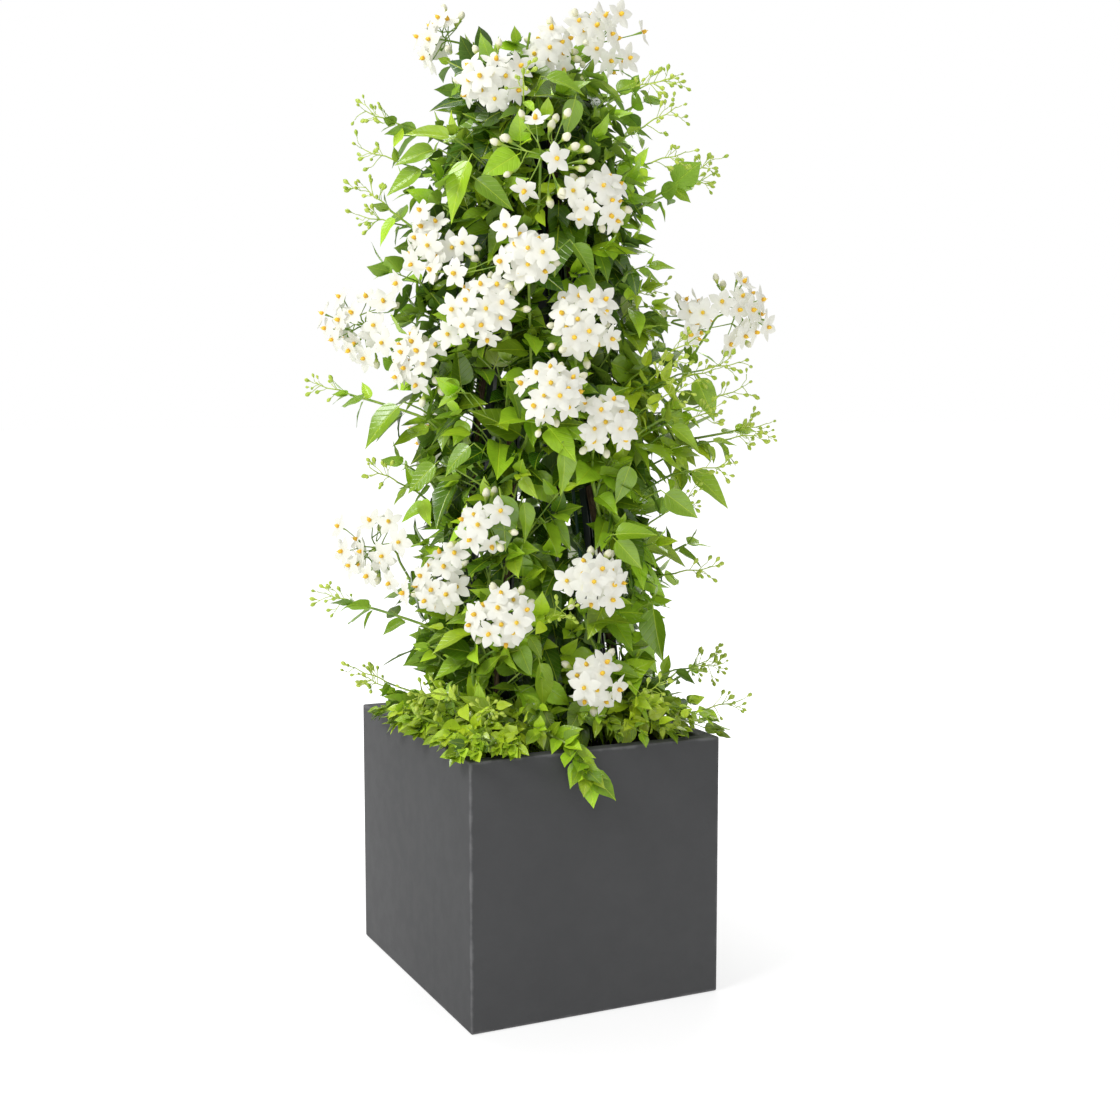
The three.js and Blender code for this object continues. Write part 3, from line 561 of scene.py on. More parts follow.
# A head has one or two crowns, with a centre, open flowers, buds, and the radius that they spread over
# each. 1 to 19 stand where the photo shows them, and 20 to 23 on the back.
HEADS = {
    1: [((-47, -100, 1008), 6, 1, 29)],
    2: [((-109, 20, 1076), 5, 2, 28)],
    3: [((80, -20, 1066), 7, 1, 33), ((27, -58, 1051), 3, 0, 20)],
    4: [((14, -148, 924), 3, 6, 38)],
    5: [((80, -120, 883), 5, 2, 25)],
    6: [((-107, -80, 838), 5, 1, 29)],
    7: [((-1, -160, 815), 5, 1, 27), ((-50, -148, 766), 6, 1, 29)],
    8: [((62, -150, 747), 5, 2, 28)],
    9: [((-200, -20, 753), 7, 1, 34)],
    10: [((-126, -85, 706), 6, 2, 29)],
    11: [((244, 0, 768), 6, 2, 33), ((188, -28, 760), 2, 1, 20)],
    12: [((25, -170, 671), 6, 1, 29)],
    13: [((86, -140, 638), 6, 2, 29)],
    14: [((-188, -20, 499), 6, 1, 32)],
    15: [((-111, -92, 465), 6, 2, 29)],
    16: [((-55, -140, 535), 5, 2, 26)],
    17: [((-31, -160, 436), 5, 1, 28)],
    18: [((73, -140, 476), 5, 1, 27)],
    19: [((73, -148, 366), 5, 1, 24)],
    20: [((62, 150, 480), 4, 1, 27)],
    21: [((20, 160, 690), 4, 1, 27)],
    22: [((72, 130, 880), 4, 1, 27)],
    23: [((-125, 118, 620), 4, 1, 27)],
}
# A shoot: its main stem, the height it springs from, where its axis and branches end, and which end in a
# spray. An end that is one number is the head that it carries.
SHOOTS = {
    "shoot_01": (2, 330, [16, 17], []),
    "shoot_02": (2, 600, [7, 12], []),
    "shoot_03": (2, 800, [4, (-105, -95, 905)], []),
    "shoot_04": (2, 900, [1, (0, -65, 1062)], []),
    "shoot_05": (1, 330, [15, 14, (-205, 0, 430)], [2]),
    "shoot_06": (1, 560, [10, 9, (-205, -30, 672)], [2]),
    "shoot_07": (1, 700, [6, (-160, 0, 880)], [1]),
    "shoot_08": (1, 880, [2, (-150, -5, 975)], [1]),
    "shoot_09": (3, 330, [18, 19, (178, -10, 500)], []),
    "shoot_10": (3, 520, [13, 8, (165, -70, 655)], []),
    "shoot_11": (3, 560, [11, (232, 0, 630), (176, -25, 585)], [1]),
    "shoot_12": (3, 730, [5, (172, 0, 914)], [1]),
    "shoot_13": (3, 880, [3, (125, 0, 1000)], []),
    "shoot_14": (0, 330, [20, (-85, 110, 420), (140, 72, 500)], []),
    "shoot_15": (0, 540, [21, (115, 110, 670), (145, 75, 755)], []),
    "shoot_16": (0, 740, [22, (-75, 115, 860), (10, 70, 1050)], []),
    "shoot_17": (1, 470, [23, (-150, 40, 590), (-75, 120, 720)], []),
    "low_shoot_1": (1, 292, [(-160, 10, 322), (-145, -60, 316)], [0]),
    "low_shoot_2": (2, 288, [(-80, -165, 312), (-120, -110, 318), (-30, -185, 310)], []),
    "low_shoot_3": (2, 314, [(60, -192, 278, -1.3), (10, -168, 318)], []),
    "low_shoot_4": (3, 290, [(178, -50, 322), (110, -115, 316)], []),
    "low_shoot_5": (3, 302, [(186, 30, 345), (120, 40, 330)], [0]),
    "low_shoot_6": (0, 290, [(60, 155, 322), (-70, 130, 318), (125, 90, 325)], []),
}
UP = np.array((0.0, 0.0, 1.0))
SHOW_SIDE = np.array((0.0, -1.0, 0.0))
GOLDEN_ANGLE = math.radians(137.5)


# %% Seeded numbers, directions and paths
def draws(seed):
    """Seeded numbers from 0 to 1: the same seed always gives the same row of them."""
    state = [(seed * 2654435761) % 2 ** 32]

    def following():
        state[0] = (state[0] * 1664525 + 1013904223) % 2 ** 32
        return state[0] / 2 ** 32

    following()
    following()
    return following


def vec(*numbers):
    return np.array(numbers, float)


def unit(v):
    return v / math.sqrt(v @ v)


def square_to(d, wish):
    """A unit vector square to d that lies nearest to the wish."""
    s = wish - d * (wish @ d)
    return unit(s) if math.sqrt(s @ s) > 1e-3 else square_to(d, vec(1, 0.3, 0.2))


def cross(a, b):
    return vec(a[1] * b[2] - a[2] * b[1], a[2] * b[0] - a[0] * b[2], a[0] * b[1] - a[1] * b[0])


def turned(v, axis, angle):
    """v turned about a unit axis."""
    c, s = math.cos(angle), math.sin(angle)
    return v * c + cross(axis, v) * s + axis * (axis @ v) * (1 - c)


def mix(a, b, t):
    return a + (b - a) * t


def clamped(value, low=0, high=1):
    return min(max(value, low), high)


def point_on(path, share):
    """A point of a path, given as a share of its steps."""
    place = clamped(share, 0, 0.9999) * (len(path) - 1)
    i = int(place)
    return mix(path[i], path[i + 1], place - i)


def direction_at(path, i):
    return unit(path[min(i + 1, len(path) - 1)] - path[max(i - 1, 0)])


def last_direction(path):
    return direction_at(path, len(path) - 1)


def arc(a, b, c, d, steps):
    """A curve from a to d that leaves towards b and arrives from c."""
    made = []
    for i in range(steps + 1):
        t = i / steps
        ab, bc, cd = mix(a, b, t), mix(b, c, t), mix(c, d, t)
        made.append(mix(mix(ab, bc, t), mix(bc, cd, t), t))
    return made


def span_of(path):
    return sum(math.dist(a, b) for a, b in zip(path, path[1:]))


# %% Uprights, canes and main stems
APEX_HEIGHT = 1100
FOOT_RADIUS = 98
UPRIGHT_TOP = 1018
TIE_HEIGHT = 1002
CANE_TOP = 930
ROOT_DEPTH = 70
STEM_TOP = 1030
STEM_FOOT = SOIL_TOP - ROOT_DEPTH
AZIMUTHS = [math.radians(a) - PLANT_TURN for a in (45, 135, 225, 315)]
CANES = [(1, -17, 14), (3, -12, -16), (3, 17, 12)]


def outward(azimuth):
    return vec(math.cos(azimuth), math.sin(azimuth), 0)


def upright_point(azimuth, z):
    spread = FOOT_RADIUS * (APEX_HEIGHT - z) / (APEX_HEIGHT - SOIL_TOP)
    return outward(azimuth) * spread + UP * z


def cane_path(cane, foot):
    upright, side, back = cane
    return [upright_point(AZIMUTHS[upright], z) + vec(side, back, 0) for z in (foot, CANE_TOP)]


def stem_point(k, z):
    weave = AZIMUTHS[k] + 0.6 * math.sin(2 * math.pi * z / 330 + 1.9 * k)
    return upright_point(AZIMUTHS[k], z) + outward(weave) * 11


STEMS = [[stem_point(k, STEM_FOOT + (STEM_TOP - STEM_FOOT) * i / 11) for i in range(12)] for k in range(4)]


# %% What is taken already
class Taken:
    """Small balls that each belong to a piece, and quick tests against them."""

    def __init__(self):
        self.rows = []
        self.owners = np.array([], dtype=object)
        self.centres = np.zeros((0, 3))
        self.radii = np.zeros(0)

    def take(self, owner, centre, radius):
        self.rows.append((owner, centre, radius))

    def take_path(self, owner, path, radius):
        for a, b in zip(path, path[1:]):
            steps = math.ceil(math.dist(a, b) / 6)
            for s in range(steps + 1):
                self.take(owner, mix(a, b, s / steps), radius)

    def clear(self, owner, points, radius):
        """Whether points of this radius stay clear of every ball that isn't the owner's."""
        if self.rows:
            self.owners = np.append(self.owners, [row[0] for row in self.rows])
            self.centres = np.vstack([self.centres, [row[1] for row in self.rows]])
            self.radii = np.append(self.radii, [row[2] for row in self.rows])
            self.rows = []
        gaps = ((self.centres[None] - points[:, None]) ** 2).sum(2)
        hit = (gaps <= (self.radii + radius) ** 2).any(0)
        return all(self.owners[i] == owner for i in np.flatnonzero(hit))


def above_planter(points, radius):
    """Whether a blade stays above the soil and the rim, or outside the planter."""
    c, s = math.cos(PLANT_TURN), math.sin(PLANT_TURN)
    x = points[:, 0] * c - points[:, 1] * s
    y = points[:, 0] * s + points[:, 1] * c
    past = np.maximum(abs(x) - PLANTER_HALF[0], abs(y) - PLANTER_HALF[1])
    ground = np.where(past < -PLANTER_WALL - radius, SOIL_TOP, PLANTER_HEIGHT)
    return bool(((past > radius) | (points[:, 2] > ground + 0.8 * radius)).all())


def take_supports(kept):
    """Takes the places of the uprights and canes above the soil."""
    for azimuth in AZIMUTHS:
        upright = [upright_point(azimuth, z) for z in (SOIL_TOP, UPRIGHT_TOP)]
        kept.take_path("upright", upright, 7)
    for cane in CANES:
        kept.take_path("cane", cane_path(cane, SOIL_TOP), 2.5)


taken = Taken()

# %% Flower heads
HEAD_DEPTH = 14
HEAD_STALK = 20
HEAD_ANGLE = math.radians(95)


def head_frame(centre, has_twin):
    """Which way a head faces, its hub, and where its stalk starts."""
    out = unit(vec(centre[0], centre[1], 0))
    facing = unit(out + SHOW_SIDE * (0.45 if centre[1] < 40 else 0) + UP * 0.22)
    hub = centre - facing * HEAD_DEPTH
    reach = 56 if has_twin else 44
    return {"facing": facing, "hub": hub, "foot": hub - facing * 0.75 * reach - UP * 0.5 * reach}


def dome_place(head, tilt, angle, layer):
    """A direction from the head's hub, and the point on it at a distance."""
    side = square_to(head["facing"], UP)
    over = cross(head["facing"], side)
    radial = side * math.cos(angle) + over * math.sin(angle)
    d = head["facing"] * math.cos(tilt) + radial * math.sin(tilt)
    return d, head["hub"] + d * layer


def head_places(head, flowers, buds, spread, seed):
    """Flowers and buds on the head's dome, by a golden-angle rule."""
    drawn = draws(seed)
    start = 2 * math.pi * drawn()
    made = []
    for i in range(flowers + buds):
        is_open = i < flowers
        share = (i + 0.45) / flowers if is_open else 0.75 + 0.5 * (i - flowers + 0.5) / buds
        tilt = math.acos(1 - min(share, 1.25) * (1 - math.cos(HEAD_ANGLE)))
        angle = start + i * GOLDEN_ANGLE + 0.3 * drawn()
        d, centre = dome_place(head, tilt, angle, spread + 5 * ((i % 3) - 1) + (0 if is_open else 3))
        made.append({"open": is_open, "at": centre, "normal": unit(d * 0.85 + head["facing"] * 0.15),
                     "root": head["hub"] - head["facing"] * 0.02 * i, "turn": 0.6 * (drawn() - 0.5)})
    return made


def head_path(head):
    neck = head["hub"] - head["facing"] * HEAD_STALK
    return [head["foot"], mix(head["foot"], neck, 0.5) - UP * 1.5, neck, head["hub"]]


def head_name(number):
    return f"flower_head_{number:02d}"


heads = {}
for number, crowns in HEADS.items():
    name = head_name(number)
    heads[name] = []
    for which, (at, flowers, buds, spread) in enumerate(crowns):
        head = head_frame(vec(*at), which == 0 and len(crowns) > 1)
        head["places"] = head_places(head, flowers, buds, spread, number + 100 * which)
        head["spread"] = spread
        head["path"] = head_path(head)
        if which:
            head["path"] = [heads[name][0]["path"][1], head["path"][2], head["hub"]]
        heads[name].append(head)
counts = [len(head["places"]) for group in heads.values() for head in group]
print(sum(counts), "flowers and buds in the frame")

# %% Taking the places of supports, stems and heads
take_supports(taken)
for path in STEMS:
    taken.take_path("stem", path, 3.5)
for name, group in heads.items():
    for head in group:
        for place in head["places"]:
            taken.take(name, place["at"], 11 if place["open"] else 5)
            taken.take_path(name, [place["root"], place["at"]], 1.5)
            if place["open"]:
                taken.take(name, place["at"] + place["normal"] * 3, 8)
        taken.take_path(name, head_path(head), 2)


# %% Shoots
def shoot_axes(stem, start, ends):
    """A shoot's axis and its side branches, which leave it one after the other."""
    stops = []
    for end in ends:
        if isinstance(end, int):
            head = heads[head_name(end)][0]
            last = direction_at(head["path"], 0)
            stops.append((head["foot"] - last * 0.9, last))
        else:
            goal = vec(*end[:3])
            rise = end[3] if len(end) > 3 else 0.35
            stops.append((goal, unit(unit(vec(goal[0], goal[1], 0)) + UP * rise)))
    share = (start - STEM_FOOT) / (STEM_TOP - STEM_FOOT)
    centre = point_on(STEMS[stem], share)
    goal = stops[0][0]
    off = math.atan2(goal[1] - centre[1], goal[0] - centre[0]) - AZIMUTHS[stem]
    off -= 2 * math.pi * round(off / (2 * math.pi))
    side = outward(AZIMUTHS[stem] + clamped(off, -0.9, 0.9))
    foot = centre + side * 0.6 * (3.4 - 1.7 * share)

    def reach(begin, heading, bend, stop, steps):
        span = math.dist(begin, stop[0])
        return arc(begin, begin + heading * bend * span, stop[0] - stop[1] * 0.3 * span, stop[0], steps)

    axis = reach(foot, side, 0.35, stops[0], 4)
    branches = [
        reach(point_on(axis, 0.35 + 0.22 * i), direction_at(axis, 2 + i), 0.3, stop, 3)
        for i, stop in enumerate(stops[1:])
    ]
    return [axis] + branches


shoot_paths = {}
for name, (stem, start, ends, _) in SHOOTS.items():
    shoot_paths[name] = shoot_axes(stem, start, ends)
    for path in shoot_paths[name]:
        taken.take_path(name, path, 2)

# %% Leaves
# Length of a leaf, and how far apart leaves stand
LARGE_LEAF = (64, 52)
SMALL_LEAF = (37, 36)
# Where a blade's clearance is tested: how far along it, and how far to both sides
LEAF_SAMPLES = [(0.22, 0.08), (0.45, 0.17), (0.68, 0.17), (0.92, 0.03)]
CURL_DEPTH = 0.24
LEAF_TRIES = 5


def leaf_frame(root, ahead, wish, **more):
    """A blade's axes: along it, out of its upper side and across it, with what more is known of it."""
    normal = square_to(ahead, wish)
    return {"root": root, "ahead": ahead, "normal": normal, "side": cross(ahead, normal), **more}


def leaf_at(root, direction, turn, length, drawn):
    """A leaf that reaches out from its shoot and away from the plant, and faces the light."""
    out = square_to(UP, vec(root[0], root[1], 0.001))
    beside = turned(square_to(direction, UP), direction, turn)
    reach = beside + out * 0.55 + direction * 0.35
    reach[2] += -0.35 + 0.5 * drawn()
    ahead = unit(reach)
    light = vec(0, 0, 0.75) + out * 0.7 + beside * 0.2 * (drawn() - 0.5)
    return leaf_frame(root, ahead, light, length=length * (0.8 + 0.4 * drawn()),
                      fold=0.05 + 0.15 * drawn(), curl=0.3 + 0.9 * drawn())


def leaf_samples(leaf):
    """Points that stand for a blade where its clearance is tested."""
    made = []
    for s, w in LEAF_SAMPLES:
        for across in (-w, w):
            lift = leaf["fold"] * w - CURL_DEPTH * leaf["curl"] * s * s
            made.append(leaf["ahead"] * s + leaf["side"] * across + leaf["normal"] * lift)
    return leaf["root"] + np.array(made) * leaf["length"]


def leaves_along(owner, path, seed, length, spacing):
    """The leaves of one axis; one that would meet another piece is turned, or left out."""
    drawn = draws(seed)
    count = max(2, math.floor(span_of(path) / spacing + 0.5))
    made = []
    for j in range(count):
        share = 0.12 + 0.88 * (j + 0.3 + 0.4 * drawn()) / count
        root = point_on(path, share)
        direction = unit(point_on(path, share + 0.02) - root)
        for attempt in range(LEAF_TRIES):
            turn = j * GOLDEN_ANGLE + attempt * 1.3
            leaf_draws = draws(seed + 100 * (j + 1) + attempt)
            leaf = leaf_at(root, direction, turn, length * (1.12 - 0.4 * share), leaf_draws)
            samples = leaf_samples(leaf)
            reach = 0.11 * leaf["length"]
            if taken.clear(owner, samples, reach) and above_planter(samples, reach):
                for sample in samples:
                    taken.take(f"{owner} leaf", sample, reach)
                made.append(leaf)
                break
    return made


shoot_leaves = {}
for number, name in enumerate(SHOOTS):
    kind = SMALL_LEAF if name.startswith("low") else LARGE_LEAF
    shoot_leaves[name] = []
    for p, path in enumerate(shoot_paths[name]):
        shoot_leaves[name] += leaves_along(name, path, 10000 * (number + 1) + 2000 * (p + 1), *kind)
print(sum(len(leaves) for leaves in shoot_leaves.values()), "leaves in the frame")

# %% [markdown]
# ## More flowers in each head
#
# A head of the real vine holds ten or more flowers that overlap. The frame's solids have the ones that give
# the head its size, so the rest are added between them: a golden-angle spiral offers places on the dome,
# and each one that isn't too close to a flower or a leaf is used. Some heads are loose, with flowers on
# longer stalks beside the dome. Extra buds stand round the rim. The stalks don't all start at the hub: a
# head forks a few times, and each flower hangs on the fork that is nearest to it.

# %% Added flowers and buds
chance = random.Random(11)
BUD_HEAD = head_name(4)
# Heads with fewer open flowers than their size would give
SMALL_HEADS = {BUD_HEAD: 3, head_name(16): 6, head_name(19): 9}
# Flowers that stand beside a head's dome, by the head's number
LOOSE_FLOWERS = {
    2: [(-92, -10, 1052), (-120, 0, 1050)],
    3: [(110, -40, 1040), (98, -50, 1085), (52, -50, 1080), (122, -20, 1072)],
    6: [(-117, -95, 868), (-108, -102, 832), (-126, -92, 812), (-72, -118, 832), (-147, -66, 794)],
    7: [(-106, -110, 803), (-22, -165, 845), (-78, -140, 800)],
    9: [(-166, -45, 775), (-173, -52, 747), (-164, -60, 731), (-202, -40, 722), (-222, -30, 735),
        (-214, -28, 780), (-236, -8, 762), (-232, -16, 745), (-186, -45, 712)],
    10: [(-148, -80, 690), (-88, -112, 735)],
    11: [(238, -10, 795), (250, -10, 772), (192, -48, 762), (176, -48, 740), (225, -20, 728),
         (270, -14, 748), (262, -4, 778), (243, -22, 738)],
    14: [(-222, -20, 523), (-216, -28, 492), (-205, -40, 478), (-160, -50, 530), (-168, -50, 492),
         (-150, -60, 506), (-185, -48, 470), (-160, -62, 462)],
    15: [(-140, -85, 455), (-84, -118, 500)],
}
# A full turn, as far as chance needs it
ROUND = 6.28
# The least distance from one flower or bud of a head to the next, in millimetres
FLOWER_GAP = 13.5
LOOSE_GAP = 9
BUD_GAP = 10
# How often a place on the dome is tried, how many places go from its middle to its rim, and how far that is
FLOWER_TRIES = 90
BUD_TRIES = 40
DOME_PLACES = 23
DOME_SPAN = 1 - math.cos(math.radians(100))
FORKS = 6


def gap_round(name, centre):
    """How far a place is from the nearest flower or bud of its head."""
    return min(math.dist(centre, place["at"]) for head in heads[name] for place in head["places"])


def open_flower(head, centre, outwards):
    """A flower that looks away from its hub, a little towards the head's own side, and by some chance."""
    stray = vec(*(chance.uniform(-0.28, 0.28) for _ in range(3)))
    normal = unit(outwards * 0.55 + head["facing"] * 0.45 + stray)
    head["places"].append({"open": True, "at": centre, "normal": normal, "turn": chance.uniform(0, 1.2)})


def add_flowers(name, head, wanted):
    """Fills the dome of a head with more open flowers, in rounds from its middle to its rim."""
    start = chance.uniform(0, ROUND)
    for i in range(FLOWER_TRIES):
        if sum(place["open"] for place in head["places"]) >= wanted:
            return
        tilt = math.acos(1 - (i % DOME_PLACES + 0.3) / DOME_PLACES * DOME_SPAN)
        layer = head["spread"] + chance.uniform(-9, 8)
        d, centre = dome_place(head, tilt, start + i * GOLDEN_ANGLE, layer)
        if gap_round(name, centre) > FLOWER_GAP and taken.clear(name, centre[None], 8):
            open_flower(head, centre, d)


def add_loose_flowers(name, head, spots):
    """Flowers on longer stalks that stand beside the dome and join it to its neighbour."""
    for spot in spots:
        centre = vec(*spot) + vec(*(chance.uniform(-2, 2) for _ in range(3)))
        if gap_round(name, centre) > LOOSE_GAP:
            open_flower(head, centre, unit(centre - head["hub"]))


def add_buds(name, head, wanted):
    """Buds on longer stalks round the rim of a head."""
    for _ in range(BUD_TRIES):
        if wanted <= 0:
            return
        low = 35 if name == BUD_HEAD else 68
        tilt = math.radians(chance.uniform(low, 122))
        d, centre = dome_place(head, tilt, chance.uniform(0, ROUND), head["spread"] + chance.uniform(4, 16))
        if gap_round(name, centre) > BUD_GAP and taken.clear(name, centre[None], 5):
            head["places"].append({"open": False, "at": centre, "normal": d, "turn": 0})
            wanted -= 1


def fork_stalks(head):
    """Gives the head a few forks, and hangs each flower or bud on the nearest one."""
    turn = chance.uniform(0, ROUND)
    forks = []
    for i in range(FORKS):
        tilt = math.radians(18 + 15 * i)
        reach = head["spread"] * chance.uniform(0.38, 0.55)
        forks.append(dome_place(head, tilt, turn + i * GOLDEN_ANGLE, reach)[1])
    for place in head["places"]:
        place["root"] = min(forks, key=lambda fork: math.dist(fork, place["at"]))
        place["normal"] = unit(place["normal"] * 0.8 + head["facing"] * 0.2)
    head["forks"] = forks


for number, (name, group) in enumerate(heads.items(), 1):
    add_loose_flowers(name, group[0], LOOSE_FLOWERS.get(number, ()))
    for head in group:
        full = round(chance.uniform(0.42, 0.52) * head["spread"])
        add_flowers(name, head, SMALL_HEADS.get(name, full))
        add_buds(name, head, 10 if name == BUD_HEAD else 4)
        fork_stalks(head)
opened = [place["open"] for group in heads.values() for head in group for place in head["places"]]
print(sum(opened), "flowers and", len(opened) - sum(opened), "buds")

# %% [markdown]
# ## From places to pieces
#
# Copies are made with arrays: one shape's points are bent, turned and moved for all its leaves or flowers
# at once, and joined in one mesh. Stalks and stems are curves with a round bevel whose points carry their
# own radius, and they are then made meshes. All of it turns from the plant's frame into the planter's, in
# metres.

# %% Copies as one mesh
SMOOTH_UP_TO = math.radians(50)
TURNED = np.array(((math.cos(PLANT_TURN), -math.sin(PLANT_TURN), 0),
                   (math.sin(PLANT_TURN), math.cos(PLANT_TURN), 0), (0, 0, 1)))


def to_world(points):
    return np.asarray(points) @ TURNED.T * 0.001


def finish_piece(piece, look, nodes=()):
    """Gives a piece its material and smooth shading, hangs it on the root, and hides the frame's nodes that
    it stands for.
    """
    piece.data.materials.clear()
    piece.data.materials.append(look)
    piece.data.shade_smooth()
    piece.data.set_sharp_from_angle(angle=SMOOTH_UP_TO)
    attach(piece, "root")
    if nodes:
        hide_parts(*nodes)


def copies_piece(name, shape, points, look, nodes=(), tones=None):
    """One piece from copies of a shape: points has a row of the shape's points for each copy."""
    count, size = points.shape[:2]
    loops = (shape["loops"][None] + np.arange(count)[:, None] * size).ravel()
    starts = np.cumsum(np.tile(shape["sizes"], count)) - np.tile(shape["sizes"], count)
    mesh = bpy.data.meshes.new(name)
    mesh.vertices.add(count * size)
    mesh.vertices.foreach_set("co", to_world(points.reshape(-1, 3)).ravel())
    mesh.loops.add(len(loops))
    mesh.loops.foreach_set("vertex_index", loops.astype(np.int32))
    mesh.polygons.add(len(starts))
    mesh.polygons.foreach_set("loop_start", starts.astype(np.int32))
    mesh.uv_layers.new(name="blade").uv.foreach_set("vector", np.tile(shape["uv"], (count, 1)).ravel())
    if tones is not None:
        corners = len(shape["loops"])
        colours = np.ones((count, corners, 4))
        colours[:, :, :2] = tones[:, None]
        colours[:, :, 2] = shape["below"]
        made = mesh.color_attributes.new("tone", "FLOAT_COLOR", "CORNER")
        made.data.foreach_set("color", colours.ravel())
    mesh.update(calc_edges=True)
    mesh.validate()
    finish_piece(in_scene(name, mesh), look, nodes)


def frames_of(ends):
    """Arrays of the origins and axes of many copies."""
    return [np.array([end[key] for end in ends]) for key in ("root", "side", "ahead", "normal")]


def set_in(roots, sides, aheads, normals, local):
    """Local points of every copy, (copies, points, 3), set in each copy's own frame."""
    x, y, z = (local[:, :, i, None] for i in range(3))
    return roots[:, None] + sides[:, None] * x + aheads[:, None] * y + normals[:, None] * z


def leaves_piece(name, shape, leaves, nodes=()):
    """All leaves of a piece, bent by their own fold and curl, with some ripple and sway by chance."""
    local = np.repeat(shape["points"][None], len(leaves), 0)
    local[:, :, 0] *= np.array([leaf.get("wide", 1) for leaf in leaves])[:, None]
    get = {key: np.array([leaf[key] for leaf in leaves])[:, None] for key in ("fold", "curl", "length")}
    luck = np.array([chance.uniform(-1, 1) for _ in leaves])[:, None]
    x, y = local[:, :, 0].copy(), local[:, :, 1].copy()
    ripple = 0.10 * np.abs(x) * np.sin(11 * y + 9 * luck - np.sign(x))
    local[:, :, 2] += get["fold"] * np.abs(x) - CURL_DEPTH * get["curl"] * y * y + ripple
    local[:, :, 0] -= 0.07 * luck * y * y
    local *= get["length"][:, :, None]
    tones = np.array([leaf["tone"] for leaf in leaves])
    copies_piece(name, shape, set_in(*frames_of(leaves), local), LEAF, nodes, tones)


# %% Stalks and stems as bevelled curves
def tubes_piece(name, tubes, look, nodes=(), rounds=0):
    """Round stalks: a spline for each (path, radii), in millimetres, bevelled and made one closed mesh. The
    more rounds, the more sides: 4, 6 or 8."""
    curve = bpy.data.curves.new(name, "CURVE")
    curve.dimensions = "3D"
    curve.bevel_depth = 0.001
    curve.bevel_resolution = rounds
    curve.use_fill_caps = True
    for path, radii in tubes:
        spline = curve.splines.new("POLY")
        spline.points.add(len(path) - 1)
        for point, place, radius in zip(spline.points, to_world(path), radii):
            point.co = (*place, 1)
            point.radius = radius
    piece = in_scene(name, curve)
    deselect_all()
    piece.select_set(True)
    bpy.context.view_layer.objects.active = piece
    bpy.ops.object.convert(target="MESH")
    merge_doubles(1e-6)
    finish_piece(bpy.context.object, look, nodes)


def tapered(path, foot, tip):
    """A path with a radius for each point, from foot to tip."""
    return path, [foot + (tip - foot) * i / (len(path) - 1) for i in range(len(path))]


def smoothed(path, steps):
    """A path with more points, on a curve through the given ones."""
    made = []
    for i in range(len(path) - 1):
        before, a, b, after = path[max(i - 1, 0)], path[i], path[i + 1], path[min(i + 2, len(path) - 1)]
        for s in range(steps):
            made.append(arc(a, a + (b - before) / 6, b - (after - a) / 6, b, steps)[s])
    return made + [path[-1]]


# %% [markdown]
# ## Flower heads
#
# Each head becomes four pieces: petals, anthers, buds, and the stalks that hold them. A flower's petals lie
# flatter or bend back more from one flower to the next, as they do while a flower ages.


# %% Flower pieces
BUD_MIDDLE = 9.2
GREEN_BUD_MIDDLE = 4.0


def blossom_frames(places, radius_range):
    """A frame and a size for each flower or bud, with its normal as the axis it looks along."""
    ends = []
    for place in places:
        u = square_to(place["normal"], UP)
        v = cross(place["normal"], u)
        ahead = u * math.cos(place["turn"]) + v * math.sin(place["turn"])
        ends.append({"root": place["at"], "ahead": ahead, "normal": place["normal"],
                     "side": cross(ahead, place["normal"]), "size": chance.uniform(*radius_range)})
    return ends


def shape_copies(shape, ends, shift):
    """Unbent copies of a shape, moved along their own axis by shift."""
    sizes = np.array([end["size"] for end in ends])[:, None, None]
    local = np.repeat((shape["points"] + vec(0, 0, shift))[None], len(ends), 0) * sizes
    return set_in(*frames_of(ends), local)


def petals_points(ends):
    """The star of each flower, with petals that bend back or stand up a little."""
    local = np.repeat(STAR["points"][None], len(ends), 0)
    far = np.hypot(local[:, :, 0], local[:, :, 1])
    bend = np.array([chance.uniform(-0.14, 0.22) for _ in ends])[:, None]
    wave = np.array([chance.uniform(0, 6.28) for _ in ends])[:, None]
    angle = np.arctan2(local[:, :, 0], local[:, :, 1])
    local[:, :, 2] += bend * far ** 2 + 0.07 * far ** 2 * np.sin(3 * angle + wave)
    local *= np.array([end["size"] for end in ends])[:, None, None]
    return set_in(*frames_of(ends), local)


def blossom_stalk(place, below):
    """A thin stalk that leaves the hub, bends, and thickens under its flower or bud."""
    end = place["at"] - place["normal"] * below
    reach = math.dist(place["root"], end)
    path = arc(place["root"], mix(place["root"], end, 0.35), end - place["normal"] * 0.35 * reach, end, 4)
    return path, [0.8, 0.65, 0.6, 0.7, 1.7]


def flower_pieces(name, group):
    """The four pieces of a head."""
    places = [place for head in group for place in head["places"]]
    flowers = [place for place in places if place["open"]]
    buds = [place for place in places if not place["open"]]
    ends = blossom_frames(flowers, (16.0, 19.5))
    copies_piece(f"{name}_petals", STAR, petals_points(ends), PETAL, [name])
    for end in ends:
        end["size"] = chance.uniform(0.85, 1.0)
    anthers = shape_copies(ANTHERS, ends, -0.3)
    copies_piece(f"{name}_anthers", ANTHERS, anthers, ANTHER, [name])
    closed = shape_copies(FLOWER_BUD, blossom_frames(buds, (0.8, 1.05)), -BUD_MIDDLE)
    copies_piece(f"{name}_buds", FLOWER_BUD, closed, BUD, [name])
    stalks = [blossom_stalk(place, 0.6) for place in flowers] + [blossom_stalk(place, 8) for place in buds]
    for head in group:
        stalks.append(tapered(smoothed(head["path"], 3), 1.5, 1.2))
        for fork in head["forks"]:
            bend = mix(head["hub"], fork, 0.5) + head["facing"] * 2
            stalks.append(([head["hub"], bend, fork], [1.0, 0.9, 0.85]))
    tubes_piece(f"{name}_stalks", stalks, STALK, [name], 1)


for name, group in heads.items():
    flower_pieces(name, group)
print("Flower heads dressed:", len(heads))

